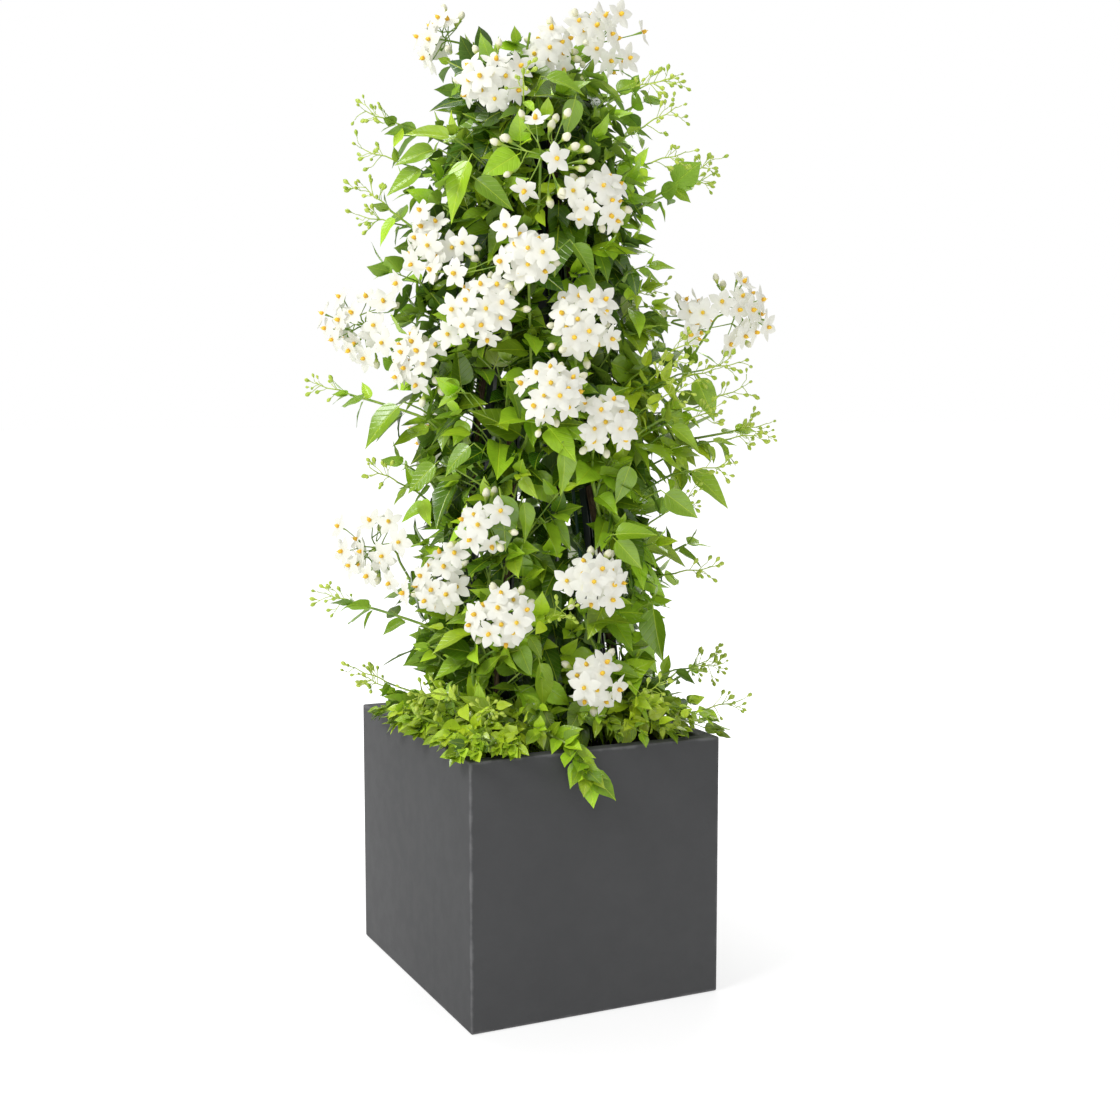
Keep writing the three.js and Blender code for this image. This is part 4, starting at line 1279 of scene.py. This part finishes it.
# %% [markdown]
# ## Leafy shoots
#
# A shoot's leaves stand exactly where the frame has them. Between them come a few more, and at the end of a
# leafy branch a tuft of young leaves. The added leaves hang more, and turn their upper side outwards, as
# most leaves of a climber do. Growth isn't equally old everywhere, so a few young places of the plant are
# given: leaves near them are yellower.


# %% Tones, added leaves and tufts
# Middle of each place with young leaves, and how far round it they are
YOUNG_PLACES = [((130, -60, 690), 105), ((190, -20, 640), 95), ((22, -130, 440), 45), ((-80, -90, 955), 50),
                ((130, -90, 310), 80), ((-60, -150, 305), 70), ((-130, -60, 310), 60),
                ((40, 150, 320), 120), ((120, 60, 960), 60)]


def leaf_tone(leaf, outer):
    """How light and how yellow a leaf is: outer ones are painted lighter, as if lit, and inner ones darker,
    as if in shade, with some random difference besides; those in a young place are yellower.
    """
    # Painted light and shade: the further out a leaf counts, the lighter it is painted
    light = clamped(0.8 * outer + chance.uniform(-0.5, 0.5))
    near = max(1 - math.dist(leaf["root"], place) / reach for place, reach in YOUNG_PLACES)
    young = chance.gauss(0.05, 0.12) + 0.9 * max(near, 0) * outer
    if leaf["length"] < 30:
        young += 0.25 * outer
    return light, clamped(young, 0, 0.8)


PAST_FRAME = 0.012
HANGING_TRIES = 3
LAST_SHARE = 0.97


def in_reach(points):
    """Whether an added leaf stays within the size that the frame gives the whole plant, or nearly so."""
    low, high = np.array(cad_box)
    world = to_world(points)
    return bool((world > low - PAST_FRAME).all() and (world < high + PAST_FRAME).all())


def has_room(leaf):
    samples = leaf_samples(leaf)
    return blossoms.clear("", samples, 2.5) and above_planter(samples, 2) and in_reach(samples)


def hanging_leaf(root, direction, turn, length):
    """An added leaf: its tip hangs, and its upper side looks outwards and up."""
    out = square_to(UP, vec(root[0], root[1], 0.001))
    beside = turned(square_to(direction, UP), direction, turn)
    ahead = unit(beside + out * 0.35 + direction * 0.4 + UP * chance.uniform(-1.1, 0.15))
    light = out * chance.uniform(0.1, 1.0) + UP * chance.uniform(0.2, 1.3) + SHOW_SIDE * 0.15
    light = light + cross(UP, out) * chance.uniform(-1.0, 1.0)
    return leaf_frame(root, ahead, light, length=length * chance.uniform(0.7, 1.25),
                      wide=chance.uniform(0.7, 1.0), fold=chance.uniform(0.05, 0.55),
                      curl=chance.uniform(0.2, 1.6))


def more_leaves(path, spacing, length, first=0.15):
    """Leaves along a path, from its share first on, where they meet no flower, bud or upright."""
    made = []
    count = max(1, round(span_of(path) / spacing))
    begin = chance.uniform(0, ROUND)
    for j in range(count):
        share = first + (LAST_SHARE - first) * (j + chance.random()) / count
        root = point_on(path, share)
        direction = unit(point_on(path, share + 0.02) - root)
        for attempt in range(HANGING_TRIES):
            turn = begin + j * GOLDEN_ANGLE + attempt * 1.7
            leaf = hanging_leaf(root, direction, turn, length * (1.1 - 0.45 * share))
            if has_room(leaf):
                made.append(leaf)
                break
    return made


def tuft(path, length, count):
    """Young leaves at the end of a branch."""
    tip, direction = path[-1], last_direction(path)
    made = []
    for i in range(count):
        leaf = leaf_at(tip, direction, i * GOLDEN_ANGLE, length * chance.uniform(0.5, 1), chance.random)
        leaf.update(leaf_frame(tip, unit(leaf["ahead"] + direction * 0.9), leaf["normal"]))
        if has_room(leaf):
            made.append(leaf)
    return made


# What no added leaf may touch: flowers with the space in front of them, buds, uprights and canes
blossoms = Taken()
for name, group in heads.items():
    for head in group:
        for place in head["places"]:
            blossoms.take(name, place["at"], 12 if place["open"] else 5)
            if place["open"]:
                blossoms.take(name, place["at"] + place["normal"] * 9, 9)
                blossoms.take(name, place["at"] + SHOW_SIDE * 22, 8)
        blossoms.take(name, head["hub"] + head["facing"] * 50, 26)
        blossoms.take(name, head["hub"] + (head["facing"] + SHOW_SIDE) * 45, 24)
take_supports(blossoms)
# Gaps in the leaves, through which the uprights can be seen from the show side
for z in (628, 646, 664, 682):
    blossoms.take_path("gap", [vec(-52, 6, z), vec(-58, -150, z)], 9)
for z in (540, 556):
    blossoms.take_path("gap", [vec(62, -32, z), vec(66, -150, z)], 8)


# %% [markdown]
# ## The bush's outline
#
# The outline tells, at some heights, how far the bush reaches to the left, to the right, and to the front
# and back. A twig grows from the nearest main stem to a point near that outline. The first twigs carry the
# large leaves that stand out on the show side: each is given by where it starts and ends, seen from there.

# %% The bush's outline
# Height, and how far the bush reaches there to the left, to the right, and to the front and back
OUTLINE = [
    (330, 150, 165, 135), (375, 128, 138, 118), (434, 140, 160, 125), (493, 150, 168, 130),
    (551, 146, 172, 128), (597, 146, 186, 130), (643, 130, 188, 130), (690, 146, 186, 132),
    (746, 160, 182, 130), (800, 146, 145, 126), (847, 146, 122, 122), (892, 158, 144, 122),
    (948, 145, 140, 112), (1003, 108, 120, 95), (1045, 92, 112, 70), (1075, 66, 62, 45),
]
heights, lefts, rights, depths = (np.array(column) for column in zip(*OUTLINE))


def half_width(z, x):
    """How far the bush reaches at a height, to the side that x is on."""
    return np.interp(z, heights, rights if x > 0 else lefts)


def outline_at(z, azimuth):
    """How far the bush reaches from its axis at a height, in a direction, with some lumps and hollows."""
    c, s = math.cos(azimuth), math.sin(azimuth)
    wide = half_width(z, c)
    deep = np.interp(z, heights, depths)
    lump = 1 + 0.08 * math.sin(2 * azimuth + z / 55) + 0.07 * math.sin(5 * azimuth - z / 38)
    return lump / math.sqrt((c / wide) ** 2 + (s / deep) ** 2)


def twig_to(tip, rise, slope):
    """A twig that leaves the nearest main stem below a point by rise, and arrives there at a slope."""
    azimuth = math.atan2(tip[1], tip[0])
    k = max(range(4), key=lambda k: math.cos(azimuth - AZIMUTHS[k]))
    foot = stem_point(k, clamped(tip[2] - rise, SOIL_TOP + 8, STEM_TOP - 5))
    last = unit(outward(azimuth) + UP * slope)
    span = math.dist(foot, tip)
    heading = unit(outward(AZIMUTHS[k]) + outward(azimuth) * 0.5 + UP * 0.4)
    return arc(foot, foot + heading * 0.35 * span, tip - last * 0.35 * span, tip, 5)


# %% Leaves that stand out
# Start and end of each leaf, each to the right and up, and how light and how yellow the leaf is; how light
# it is stands for painted light and shade as well as its own colour
SHOWN_LEAVES = [
    (-61, 927, -90, 869, 0.59, 0.14), (-113, 917, -150, 892, 0.46, 0.07), (-62, 904, -22, 874, 0.34, 0.02),
    (-80, 944, -124, 955, 0.50, 0.20), (-98, 935, -140, 925, 0.43, 0.09), (12, 1010, 54, 1002, 0.43, 0.05),
    (50, 992, 40, 952, 0.37, 0.05), (-41, 718, -70, 672, 0.59, 0.11), (36, 622, 42, 572, 0.56, 0.11),
    (182, 695, 204, 652, 0.50, 0.09), (175, 588, 220, 557, 0.56, 0.14), (144, 567, 181, 540, 0.46, 0.07),
    (-33, 573, -22, 512, 0.28, 0.02), (-8, 563, 2, 520, 0.46, 0.07), (-142, 664, -186, 627, 0.40, 0.05),
    (9, 388, 19, 334, 0.62, 0.18), (43, 836, 70, 802, 0.31, 0.02), (136, 442, 142, 384, 0.34, 0.02),
    (87, 520, 130, 528, 0.46, 0.07), (87, 520, 52, 545, 0.43, 0.05), (90, 518, 118, 488, 0.50, 0.09),
    (185, 802, 216, 780, 0.43, 0.07), (160, 782, 146, 742, 0.46, 0.07), (-25, 690, -4, 652, 0.34, 0.02),
    (110, 600, 96, 560, 0.37, 0.05), (150, 640, 186, 618, 0.53, 0.16), (60, 905, 98, 884, 0.37, 0.05),
    (20, 870, 46, 838, 0.34, 0.02), (-60, 620, -92, 596, 0.34, 0.02), (-100, 600, -132, 572, 0.37, 0.05),
]
shown_leaves, shown_twigs = [], []
for start, low, end, high, light, young in SHOWN_LEAVES:
    flat = max(0.1, 1 - (start / half_width(low, start)) ** 2)
    root = vec(start, -np.interp(low, heights, depths) * math.sqrt(flat) - 6, low)
    reach = vec(end - start, chance.uniform(-12, 4), high - low)
    facing = vec(chance.uniform(-0.9, 0.9), -0.8, chance.uniform(0.3, 1.2))
    leaf = leaf_frame(root, unit(reach), facing, tone=(light, young),
                      length=1.15 * math.sqrt(reach @ reach), wide=chance.uniform(0.7, 0.9),
                      fold=chance.uniform(0.2, 0.5), curl=chance.uniform(0.6, 1.4))
    if has_room(leaf):
        shown_leaves.append(leaf)
        shown_twigs.append(tapered(twig_to(root, 50, 0.3), 1.3, 0.9))
for leaf in shown_leaves:
    for sample in leaf_samples(leaf):
        blossoms.take("shown", sample + leaf["normal"] * 8, 7)
leaves_piece("shown_leaves", FINE_LEAF, shown_leaves)
tubes_piece("shown_twigs", shown_twigs, STALK)
print("Leaves that stand out:", len(shown_leaves), "of", len(SHOWN_LEAVES))

# %% [markdown]
# ## Sprays and shoots
#
# Some branches end in a spray of small green buds on a zigzag stalk. Then each shoot is dressed as a whole.

# %% Bud sprays
def spray(path, drawn, forks):
    """Stalks and bud places of a spray at the end of a path: a zigzag stalk with three buds, as in the
    frame's sprays, and forks with up to three more each."""
    direction = last_direction(path)
    tip = path[-1] - direction * 2
    side = square_to(direction, UP)
    stalk = [tip + direction * 14 * i + side * (2 if i % 2 else 0) for i in range(4)]
    stalks, buds = [tapered(smoothed(stalk, 2), 0.9, 0.5)], []
    for i in range(3):
        root = point_on(stalk, 0.4 + 0.28 * i)
        away = unit(turned(side, direction, i * GOLDEN_ANGLE) + direction)
        buds.append((root, away, 12 + 5 * drawn()))
    for i in range(forks):
        root = point_on(stalk, chance.uniform(0.05, 1.0))
        away = unit(turned(side, direction, (i + 3) * GOLDEN_ANGLE) + direction * chance.uniform(0.4, 1.4))
        fork = root + away * chance.uniform(6, 15) - UP * chance.uniform(0, 3)
        stalks.append(([root, mix(root, fork, 0.5) + UP * 0.7, fork], [0.5, 0.42, 0.4]))
        for _ in range(chance.choice((1, 2, 3))):
            aside = turned(square_to(away, UP), away, chance.uniform(0, ROUND))
            buds.append((fork, unit(away + aside * chance.uniform(0.3, 0.8)), chance.uniform(7, 11)))
    ends = []
    for root, away, reach in buds:
        centre = root + away * reach
        foot = centre - away * 4
        bend = mix(root, foot, 0.5) - UP * 0.6
        stalks.append(([root, bend, foot], [0.4, 0.36, 0.45]))
        u = square_to(away, UP)
        ends.append({"root": centre, "ahead": u, "normal": away, "side": cross(u, away),
                     "size": chance.uniform(0.6, 1.05)})
    return stalks, ends


def spray_pieces(stalks_name, buds_name, sprays, nodes=()):
    """The two pieces of some sprays: thin stalks, and small green buds."""
    stalks = [stalk for some, _ in sprays for stalk in some]
    ends = [end for _, some in sprays for end in some]
    tubes_piece(stalks_name, stalks, SPRAY, nodes)
    buds = shape_copies(GREEN_BUD, ends, -GREEN_BUD_MIDDLE)
    copies_piece(buds_name, GREEN_BUD, buds, SPRAY, nodes)


# %% The shoots' pieces
# How far apart the added leaves stand, their length, that of a tuft's leaves, and how far out they count
# as, which sets how light they are painted: painted light and shade
LOW_FILL = (18, 32, 24, 0.85)
HIGH_FILL = (22, 48, 34, 0.7)
# The shoot whose first axis hangs over the rim with a bunch of leaves
HANGING = "low_shoot_3"
for number, (name, (_, _, ends, spray_ends)) in enumerate(SHOOTS.items()):
    spacing, length, tuft_length, outer = LOW_FILL if name.startswith("low") else HIGH_FILL
    leaves = shoot_leaves[name]
    stems, sprays = [], []
    for p, path in enumerate(shoot_paths[name]):
        fine = smoothed(path, 3)
        stems.append(tapered(fine, 1.8 if p else 2.1, 1.4))
        leaves += more_leaves(fine, spacing, length)
        if not isinstance(ends[p], int):
            leaves += tuft(fine, tuft_length, 3)
        if name == HANGING and p == 0:
            leaves += more_leaves(fine, 7, 40, 0.5) + tuft(fine, 40, 6)
        if p in spray_ends:
            sprays.append(spray(path, draws(10000 * (number + 1) + p), 6))
    # Painted light and shade: these leaves are painted lighter the further out their shoot counts
    for leaf in leaves:
        leaf["tone"] = leaf_tone(leaf, outer)
    leaves_piece(f"{name}_leaves", FINE_LEAF, leaves, [name])
    tubes_piece(f"{name}_stems", stems, STALK, [name], 1)
    if sprays:
        spray_pieces(f"{name}_spray", f"{name}_green_buds", sprays, [name])
print("Shoots dressed:", len(SHOOTS))

# %% [markdown]
# ## The canopy
#
# Most of a vine's leaves sit on short twigs. They grow to points near the bush's outline, and carry leaves
# that get smaller and younger towards the tip, and are painted lighter the further out they stand, as
# painted light. Larger leaves behind them close the bush; they are painted dark, as painted shade.

# %% Twigs
canopy = {"front": [], "right": [], "back": [], "left": []}
canopy_twigs = []
TWIGS = 210
INNER_LEAVES = 520
BUSH_HEIGHT = 720
TWIGS_FROM = 345
INNER_FROM = 320


def side_of(tip):
    """Which side of the bush a point is on, for someone who looks at the show side."""
    if abs(tip[0]) < abs(tip[1]):
        return "front" if tip[1] < 0 else "back"
    return "left" if tip[0] < 0 else "right"


# Height and azimuth of each twig's tip
twig_places = []
for i in range(TWIGS):
    z = TWIGS_FROM + BUSH_HEIGHT * (i + chance.random()) / TWIGS
    twig_places.append((z, i * GOLDEN_ANGLE + chance.uniform(-0.3, 0.3)))
# The bush bulges to the right at half its height, and to the left a little higher
twig_places += [(chance.uniform(525, 775), chance.uniform(-0.5, 0.25)) for _ in range(9)]
twig_places += [(chance.uniform(690, 790), chance.uniform(2.8, 3.6)) for _ in range(5)]
for z, azimuth in twig_places:
    tip = outward(azimuth) * outline_at(z, azimuth) * chance.uniform(0.66, 0.96) + UP * z
    path = twig_to(tip, chance.uniform(20, 100), chance.uniform(-0.5, 0.6))
    canopy_twigs.append(tapered(path, 1.3, 0.7))
    leaves = more_leaves(path, 20, chance.uniform(38, 70), 0.25)
    leaves += tuft(path, 38, 3)
    for leaf in leaves:
        # Painted light and shade: the further a leaf stands from the axis, the lighter it is painted
        far = math.hypot(leaf["root"][0], leaf["root"][1]) / outline_at(z, azimuth)
        leaf["tone"] = leaf_tone(leaf, clamped(1.9 * far - 0.8))
    canopy[side_of(tip)] += leaves
for side, leaves in canopy.items():
    leaves_piece(f"canopy_leaves_{side}", FINE_LEAF, leaves)
tubes_piece("canopy_twigs", canopy_twigs, STALK)
print("Canopy leaves:", {side: len(leaves) for side, leaves in canopy.items()})

# %% Inner leaves
inner = []
for i in range(INNER_LEAVES):
    z = INNER_FROM + BUSH_HEIGHT * (i + chance.random()) / INNER_LEAVES
    azimuth = i * GOLDEN_ANGLE
    root = outward(azimuth) * outline_at(z, azimuth) * chance.uniform(0.25, 0.66) + UP * z
    leaf = hanging_leaf(root, unit(outward(azimuth) + UP * 0.4), chance.uniform(0, ROUND), 58)
    if has_room(leaf):
        # Painted shade: the inner leaves are painted a nearly black green
        leaf["tone"] = (chance.uniform(0, 0.2), 0)
        inner.append(leaf)
leaves_piece("inner_leaves", PLAIN_LEAF, inner)
print("Inner leaves:", len(inner))

# %% [markdown]
# ## Low growth over the soil
#
# The pot's top is hidden under a mat of small bright leaves. Short runners start at the soil round the feet
# of the stems and arch over towards the rim all round. Some hang over it: along the left face, at the front
# corner, and one bunch in the middle of the right face. At the far left corner the soil can be seen.

# %% Runners
low_leaves = []
low_runners = []
RUNNERS = 96
SPILLS = 34


def runner_to(tip, lift):
    """A runner from the soil that arches over and comes down to its tip."""
    azimuth = math.atan2(tip[1], tip[0])
    foot = outward(azimuth + chance.uniform(-0.4, 0.4)) * chance.uniform(30, 95) + UP * (SOIL_TOP - 4)
    span = math.dist(foot, tip)
    return arc(foot, foot + UP * 0.45 * span, tip - outward(azimuth) * 0.3 * span + UP * lift, tip, 5)


# Each tip, and how much higher the runner arches before it comes down there
runner_tips = []
for i in range(RUNNERS):
    azimuth = i * GOLDEN_ANGLE
    direction = outward(azimuth + PLANT_TURN)
    to_rim = min(146 / max(abs(direction[0]), 1e-6), 168 / max(abs(direction[1]), 1e-6))
    tip = outward(azimuth) * to_rim * chance.uniform(0.45, 1.0) + UP * chance.uniform(300, 350)
    in_bare_corner = direction[0] < -0.3 and direction[1] > 0.3 and math.hypot(tip[0], tip[1]) > 125
    if not in_bare_corner:
        runner_tips.append((tip, 8))
# Places over the rim are given in the planter's own directions, and turned into the plant's
for i in range(SPILLS):
    if i % 4 < 2:
        spot = (-chance.uniform(146, 161), chance.uniform(-175, 90))
    elif i % 4 == 2:
        spot = (chance.uniform(-150, -90), -chance.uniform(166, 181))
    else:
        spot = (chance.uniform(10, 150), -chance.uniform(160, 176))
    runner_tips.append((vec(*spot, chance.uniform(298, 316)) @ TURNED, 20))
for tip, lift in runner_tips:
    path = runner_to(tip, lift)
    low_runners.append(tapered(path, 1.0, 0.45))
    leaves = more_leaves(path, 9, chance.choice((18, 23, 28, 38)), 0.25)
    leaves += tuft(path, 20, 4)
    # Painted shade and light: leaves near the middle, under the bush, are painted darker than those near
    # the rim
    far = 0.68 * min(math.hypot(tip[0], tip[1]) / 150, 1) + chance.uniform(-0.15, 0.25)
    for leaf in leaves:
        leaf["tone"] = leaf_tone(leaf, clamped(far + chance.uniform(-0.5, 0.2)))
    low_leaves += leaves
leaves_piece("pot_leaves", PLAIN_LEAF, low_leaves)
tubes_piece("pot_runners", low_runners, STALK)
print("Leaves over the soil:", len(low_leaves))

# %% [markdown]
# ## Sprays at the bush's edge
#
# Fine sprays of green buds stand out from the bush all round and break its outline.

# %% Edge sprays
SPRAY_TIPS = [
    (-154, 0, 935), (-160, 20, 868), (123, -20, 1012), (170, 10, 905), (131, -90, 688), (181, -60, 587),
    (228, -20, 622), (-150, -60, 575), (-84, -150, 345), (-172, 0, 338), (186, 0, 354), (205, -30, 312),
    (-6, -120, 985), (60, 112, 560), (-60, 112, 760), (120, 80, 790), (-120, 90, 420),
    (150, -70, 715), (168, -50, 690), (196, -30, 700), (140, -95, 665), (205, -20, 665), (172, -60, 640),
    (150, -60, 540), (165, -40, 470), (112, -62, 1004), (126, -55, 965), (134, -60, 925), (-95, -120, 345),
    (120, -120, 345), (-40, -165, 340), (20, -140, 430),
]
edge_sprays, edge_twigs, edge_leaves = [], [], []
for tip in SPRAY_TIPS:
    path = twig_to(vec(*tip), 60 if tip[2] > 400 else 30, chance.uniform(-0.2, 0.5))
    edge_twigs.append(tapered(path, 1.3, 0.9))
    leaves = more_leaves(path, 20, 40, 0.35)
    # Painted light: the leaves at the edge count as far out, so they are painted light
    for leaf in leaves:
        leaf["tone"] = leaf_tone(leaf, 0.9)
    edge_leaves += leaves
    edge_sprays.append(spray(path, chance.random, 5))
leaves_piece("edge_leaves", FINE_LEAF, edge_leaves)
tubes_piece("edge_twigs", edge_twigs, STALK)
spray_pieces("edge_sprays", "edge_buds", edge_sprays)
print("Sprays at the edge:", len(edge_sprays))

# %% [markdown]
# ## Main stems and support
#
# The four uprights keep their frame solids and get a dark coat. The stems are thicker at their foot, swell
# where they branched, and thinner ones twine round them. The canes carry the small knobs that keep a tie
# from sliding, and the wire tie is a ring with its two ends twisted together.


# %% Stems
TWINES = ((4.4, 1.5), (3.8, 1.1))


def woody_stem(k):
    """The main stem, and two thinner ones that twine round it, each with its distance and radius."""
    path = smoothed(STEMS[k], 4)
    count = len(path)
    made = [(path, [3.4 - 1.7 * i / count + (0.5 if i % 5 == 0 else 0) for i in range(count)])]
    for turn, (distance, radius) in enumerate(TWINES):
        twine = []
        for i in range(count):
            angle = 2.6 * turn + i * 0.33 + k
            twine.append(path[i] + outward(angle) * (distance - 0.03 * i))
        made.append(tapered(twine[3:], radius, 0.7))
    return made


for k in range(4):
    tubes_piece(f"stem_{k + 1}_bark", woody_stem(k), BARK, [f"stem_{k + 1}"], 2)

# %% Canes
CANE_STEPS = 96
CANE_RADIUS = 1.95
KNOB_RADIUS = 2.25
for k, cane in enumerate(CANES):
    foot, top = cane_path(cane, STEM_FOOT)
    path = [mix(foot, top, i / CANE_STEPS) for i in range(CANE_STEPS + 1)]
    radii = [KNOB_RADIUS if i % 6 == 3 else CANE_RADIUS for i in range(CANE_STEPS)] + [1.2]
    tubes_piece(f"cane_{k + 1}_coated", [(path, radii)], CANE_COAT, [f"cane_{k + 1}"], 2)

# %% Tie and uprights
spread = FOOT_RADIUS * (APEX_HEIGHT - TIE_HEIGHT) / (APEX_HEIGHT - SOIL_TOP)
tie_radius = math.hypot(spread + 3.5, 5.5) + 0.6 + 1.3
ring = [outward(2 * math.pi * i / 48) * tie_radius + UP * TIE_HEIGHT for i in range(49)]
twists = []
for which in (0, math.pi):
    twist = []
    for i in range(13):
        turn = which + i * 0.9
        away = outward(0.3) * (tie_radius + 1.5 * i) + UP * TIE_HEIGHT
        twist.append(away + outward(0.3 + math.pi / 2) * 1.1 * math.cos(turn) + UP * 1.1 * math.sin(turn))
    twists.append(tapered(twist, 1.0, 0.9))
tubes_piece("tie_wire", [tapered(ring, 1.3, 1.3)] + twists, CANE_COAT, ["tie"], 2)
for k in range(4):
    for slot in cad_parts[f"upright_{k + 1}"].material_slots:
        slot.material = UPRIGHT_COAT

# %% [markdown]
# ## Planter and soil
#
# The planter is a plain block of fibre-concrete: a cube with its top inset by the wall and pressed down to
# the floor, and its edges rounded. The material has faint clouds in two sizes and fine pores, and its outer
# edges are paler: a painted highlight. The soil's top is cut into small squares that are raised and lowered
# by noise.


# %% Planter
PLANTER_SIZE = (0.300, 0.350, 0.293)
PLANTER_DEPTH = 0.273


def concrete_material():
    """Anthracite fibre-concrete, cloudy, with pores, and paler outer edges that are a painted highlight."""
    made, tree, shader = material("anthracite concrete", 0.7)
    x, y, z = node(tree, "ShaderNodeSeparateXYZ", Vector=object_place(tree)).outputs
    beside = maths(tree, "SUBTRACT", PLANTER_SIZE[0] / 2, maths(tree, "ABSOLUTE", x))
    before = maths(tree, "SUBTRACT", PLANTER_SIZE[1] / 2, maths(tree, "ABSOLUTE", y))
    above = maths(tree, "MINIMUM", z, maths(tree, "SUBTRACT", PLANTER_SIZE[2], z))
    smaller = maths(tree, "MINIMUM", beside, before)
    larger = maths(tree, "MAXIMUM", beside, before)
    edge = maths(tree, "MAXIMUM", smaller, maths(tree, "MINIMUM", larger, above))
    large = placed(tree, CLOUDS, Scale=6.0)
    small = placed(tree, CLOUDS, Scale=40.0)
    relief = placed(tree, GRAIN, Scale=420.0, Strength=0.25, Depth=0.0005)
    ragged = maths(tree, "ADD", edge, maths(tree, "MULTIPLY", small["Mask"], 0.0025))
    # Painted highlight: the outer edges and the outer band of the rim are made paler, as if they caught the
    # light
    painted_edge_highlight = maths(tree, "MULTIPLY", ramp(tree, ragged, 0.0005, 0.0048, 1.0, 0.0), 0.55)
    grey = mixed(tree, large["Mask"], (0.048, 0.049, 0.051, 1), (0.055, 0.056, 0.058, 1))
    grey = mixed(tree, maths(tree, "MULTIPLY", small["Mask"], 0.1), grey, (0.066, 0.067, 0.070, 1))
    grey = mixed(tree, maths(tree, "MULTIPLY", relief["Height"], 0.2), grey, (0.038, 0.039, 0.041, 1))
    # The pale grey here is the painted highlight on the edges
    tree.links.new(mixed(tree, painted_edge_highlight, grey, (0.20, 0.20, 0.205, 1)), shader.inputs["Base Color"])
    tree.links.new(ramp(tree, small["Mask"], 0.0, 1.0, 0.68, 0.74), shader.inputs["Roughness"])
    tree.links.new(relief["Normal"], shader.inputs["Normal"])
    return made


def box_block(name, size, low):
    """A cube at its size and place, with its transform applied, in edit mode with its top selected."""
    deselect_all()
    bpy.ops.mesh.primitive_cube_add(size=1, location=(0, 0, low + size[2] / 2))
    block = bpy.context.object
    block.name = name
    block.scale = size
    bpy.ops.object.transform_apply(location=True, rotation=True, scale=True)
    open_mesh("DESELECT")
    bpy.ops.mesh.select_mode(type="FACE")
    close_mesh()
    for face in block.data.polygons:
        face.select = face.normal.z > 0.9
    bpy.ops.object.mode_set(mode="EDIT")
    return block


planter = box_block("planter_body", PLANTER_SIZE, 0)
bpy.ops.mesh.inset(thickness=PLANTER_WALL / 1000)
bpy.ops.mesh.extrude_region_move(TRANSFORM_OT_translate={"value": (0, 0, -PLANTER_DEPTH)})
close_mesh()
rounding = planter.modifiers.new("rounding", "BEVEL")
rounding.width = 0.0022
rounding.segments = 3
rounding.limit_method = "ANGLE"
bpy.ops.object.modifier_apply(modifier=rounding.name)
finish_piece(planter, concrete_material(), ["planter"])
planter.data.set_sharp_from_angle(angle=math.radians(35))
print("The planter has", len(planter.data.polygons), "faces")

# %% Soil
SOIL = clouded_material("potting soil", (0.012, 0.008, 0.005, 1), (0.055, 0.036, 0.022, 1), 0.95, 90.0, 1.0)
soil = box_block("soil_fill", (0.2634, 0.3134, 0.2427), 0.0203)
bpy.ops.mesh.subdivide(number_cuts=44)
close_mesh()
for vertex in soil.data.vertices:
    if vertex.co.z > 0.25:
        vertex.co.z += 0.0035 * noise.noise(vertex.co * 60) + 0.0022 * noise.noise(vertex.co * 190)
finish_piece(soil, SOIL, ["soil"])

# %% [markdown]
# ## Floor and finish
#
# The floor is a pale sheet, wide enough that its edge is never seen. It gives light of its own: further out
# it stands for a studio wall and floor with lamps of their own, and near the planter it glows a little
# less, a painted light that keeps the planter's shadow on it faint. The piece that rides on nothing is the
# floor alone.


# %% Floor
def floor_material():
    """A pale matt sheet that gives light of its own, a little less near the planter: painted light that
    keeps it white and the planter's shadow on it faint.
    """
    made, tree, shader = material("studio floor", 0.9, Emission_Strength=1.0)
    clouds = placed(tree, CLOUDS, Scale=2.0)
    white = mixed(tree, clouds["Mask"], (0.36, 0.36, 0.36, 1), (0.38, 0.38, 0.38, 1))
    tree.links.new(white, shader.inputs["Base Color"])
    length = node(tree, "ShaderNodeVectorMath", {"operation": "LENGTH"}, at0=object_place(tree))
    # Painted light: the glow is weaker near the planter than further out, but still lightens the planter's
    # shadow
    painted_glow = ramp(tree, length.outputs["Value"], 0.2, 0.9, 0.70, 0.97)
    tree.links.new(mixed(tree, painted_glow, (0, 0, 0, 1), (1, 1, 1, 1)), shader.inputs["Emission Color"])
    return made


deselect_all()
bpy.ops.mesh.primitive_plane_add(size=60, location=(0, 0, -0.0005))
floor = bpy.context.object
floor.name = "studio_floor"
floor.data.materials.append(floor_material())

# %% Measures
shown = [piece for piece in bpy.data.objects if piece.type == "MESH" and piece != floor]
counted = {piece.name: sum(len(f.vertices) - 2 for f in piece.data.polygons) for piece in shown}
largest = sorted(counted, key=counted.get)[-4:]
print(len(shown), "meshes with", sum(counted.values()), "triangles")
print("The largest have", {name: counted[name] for name in largest})
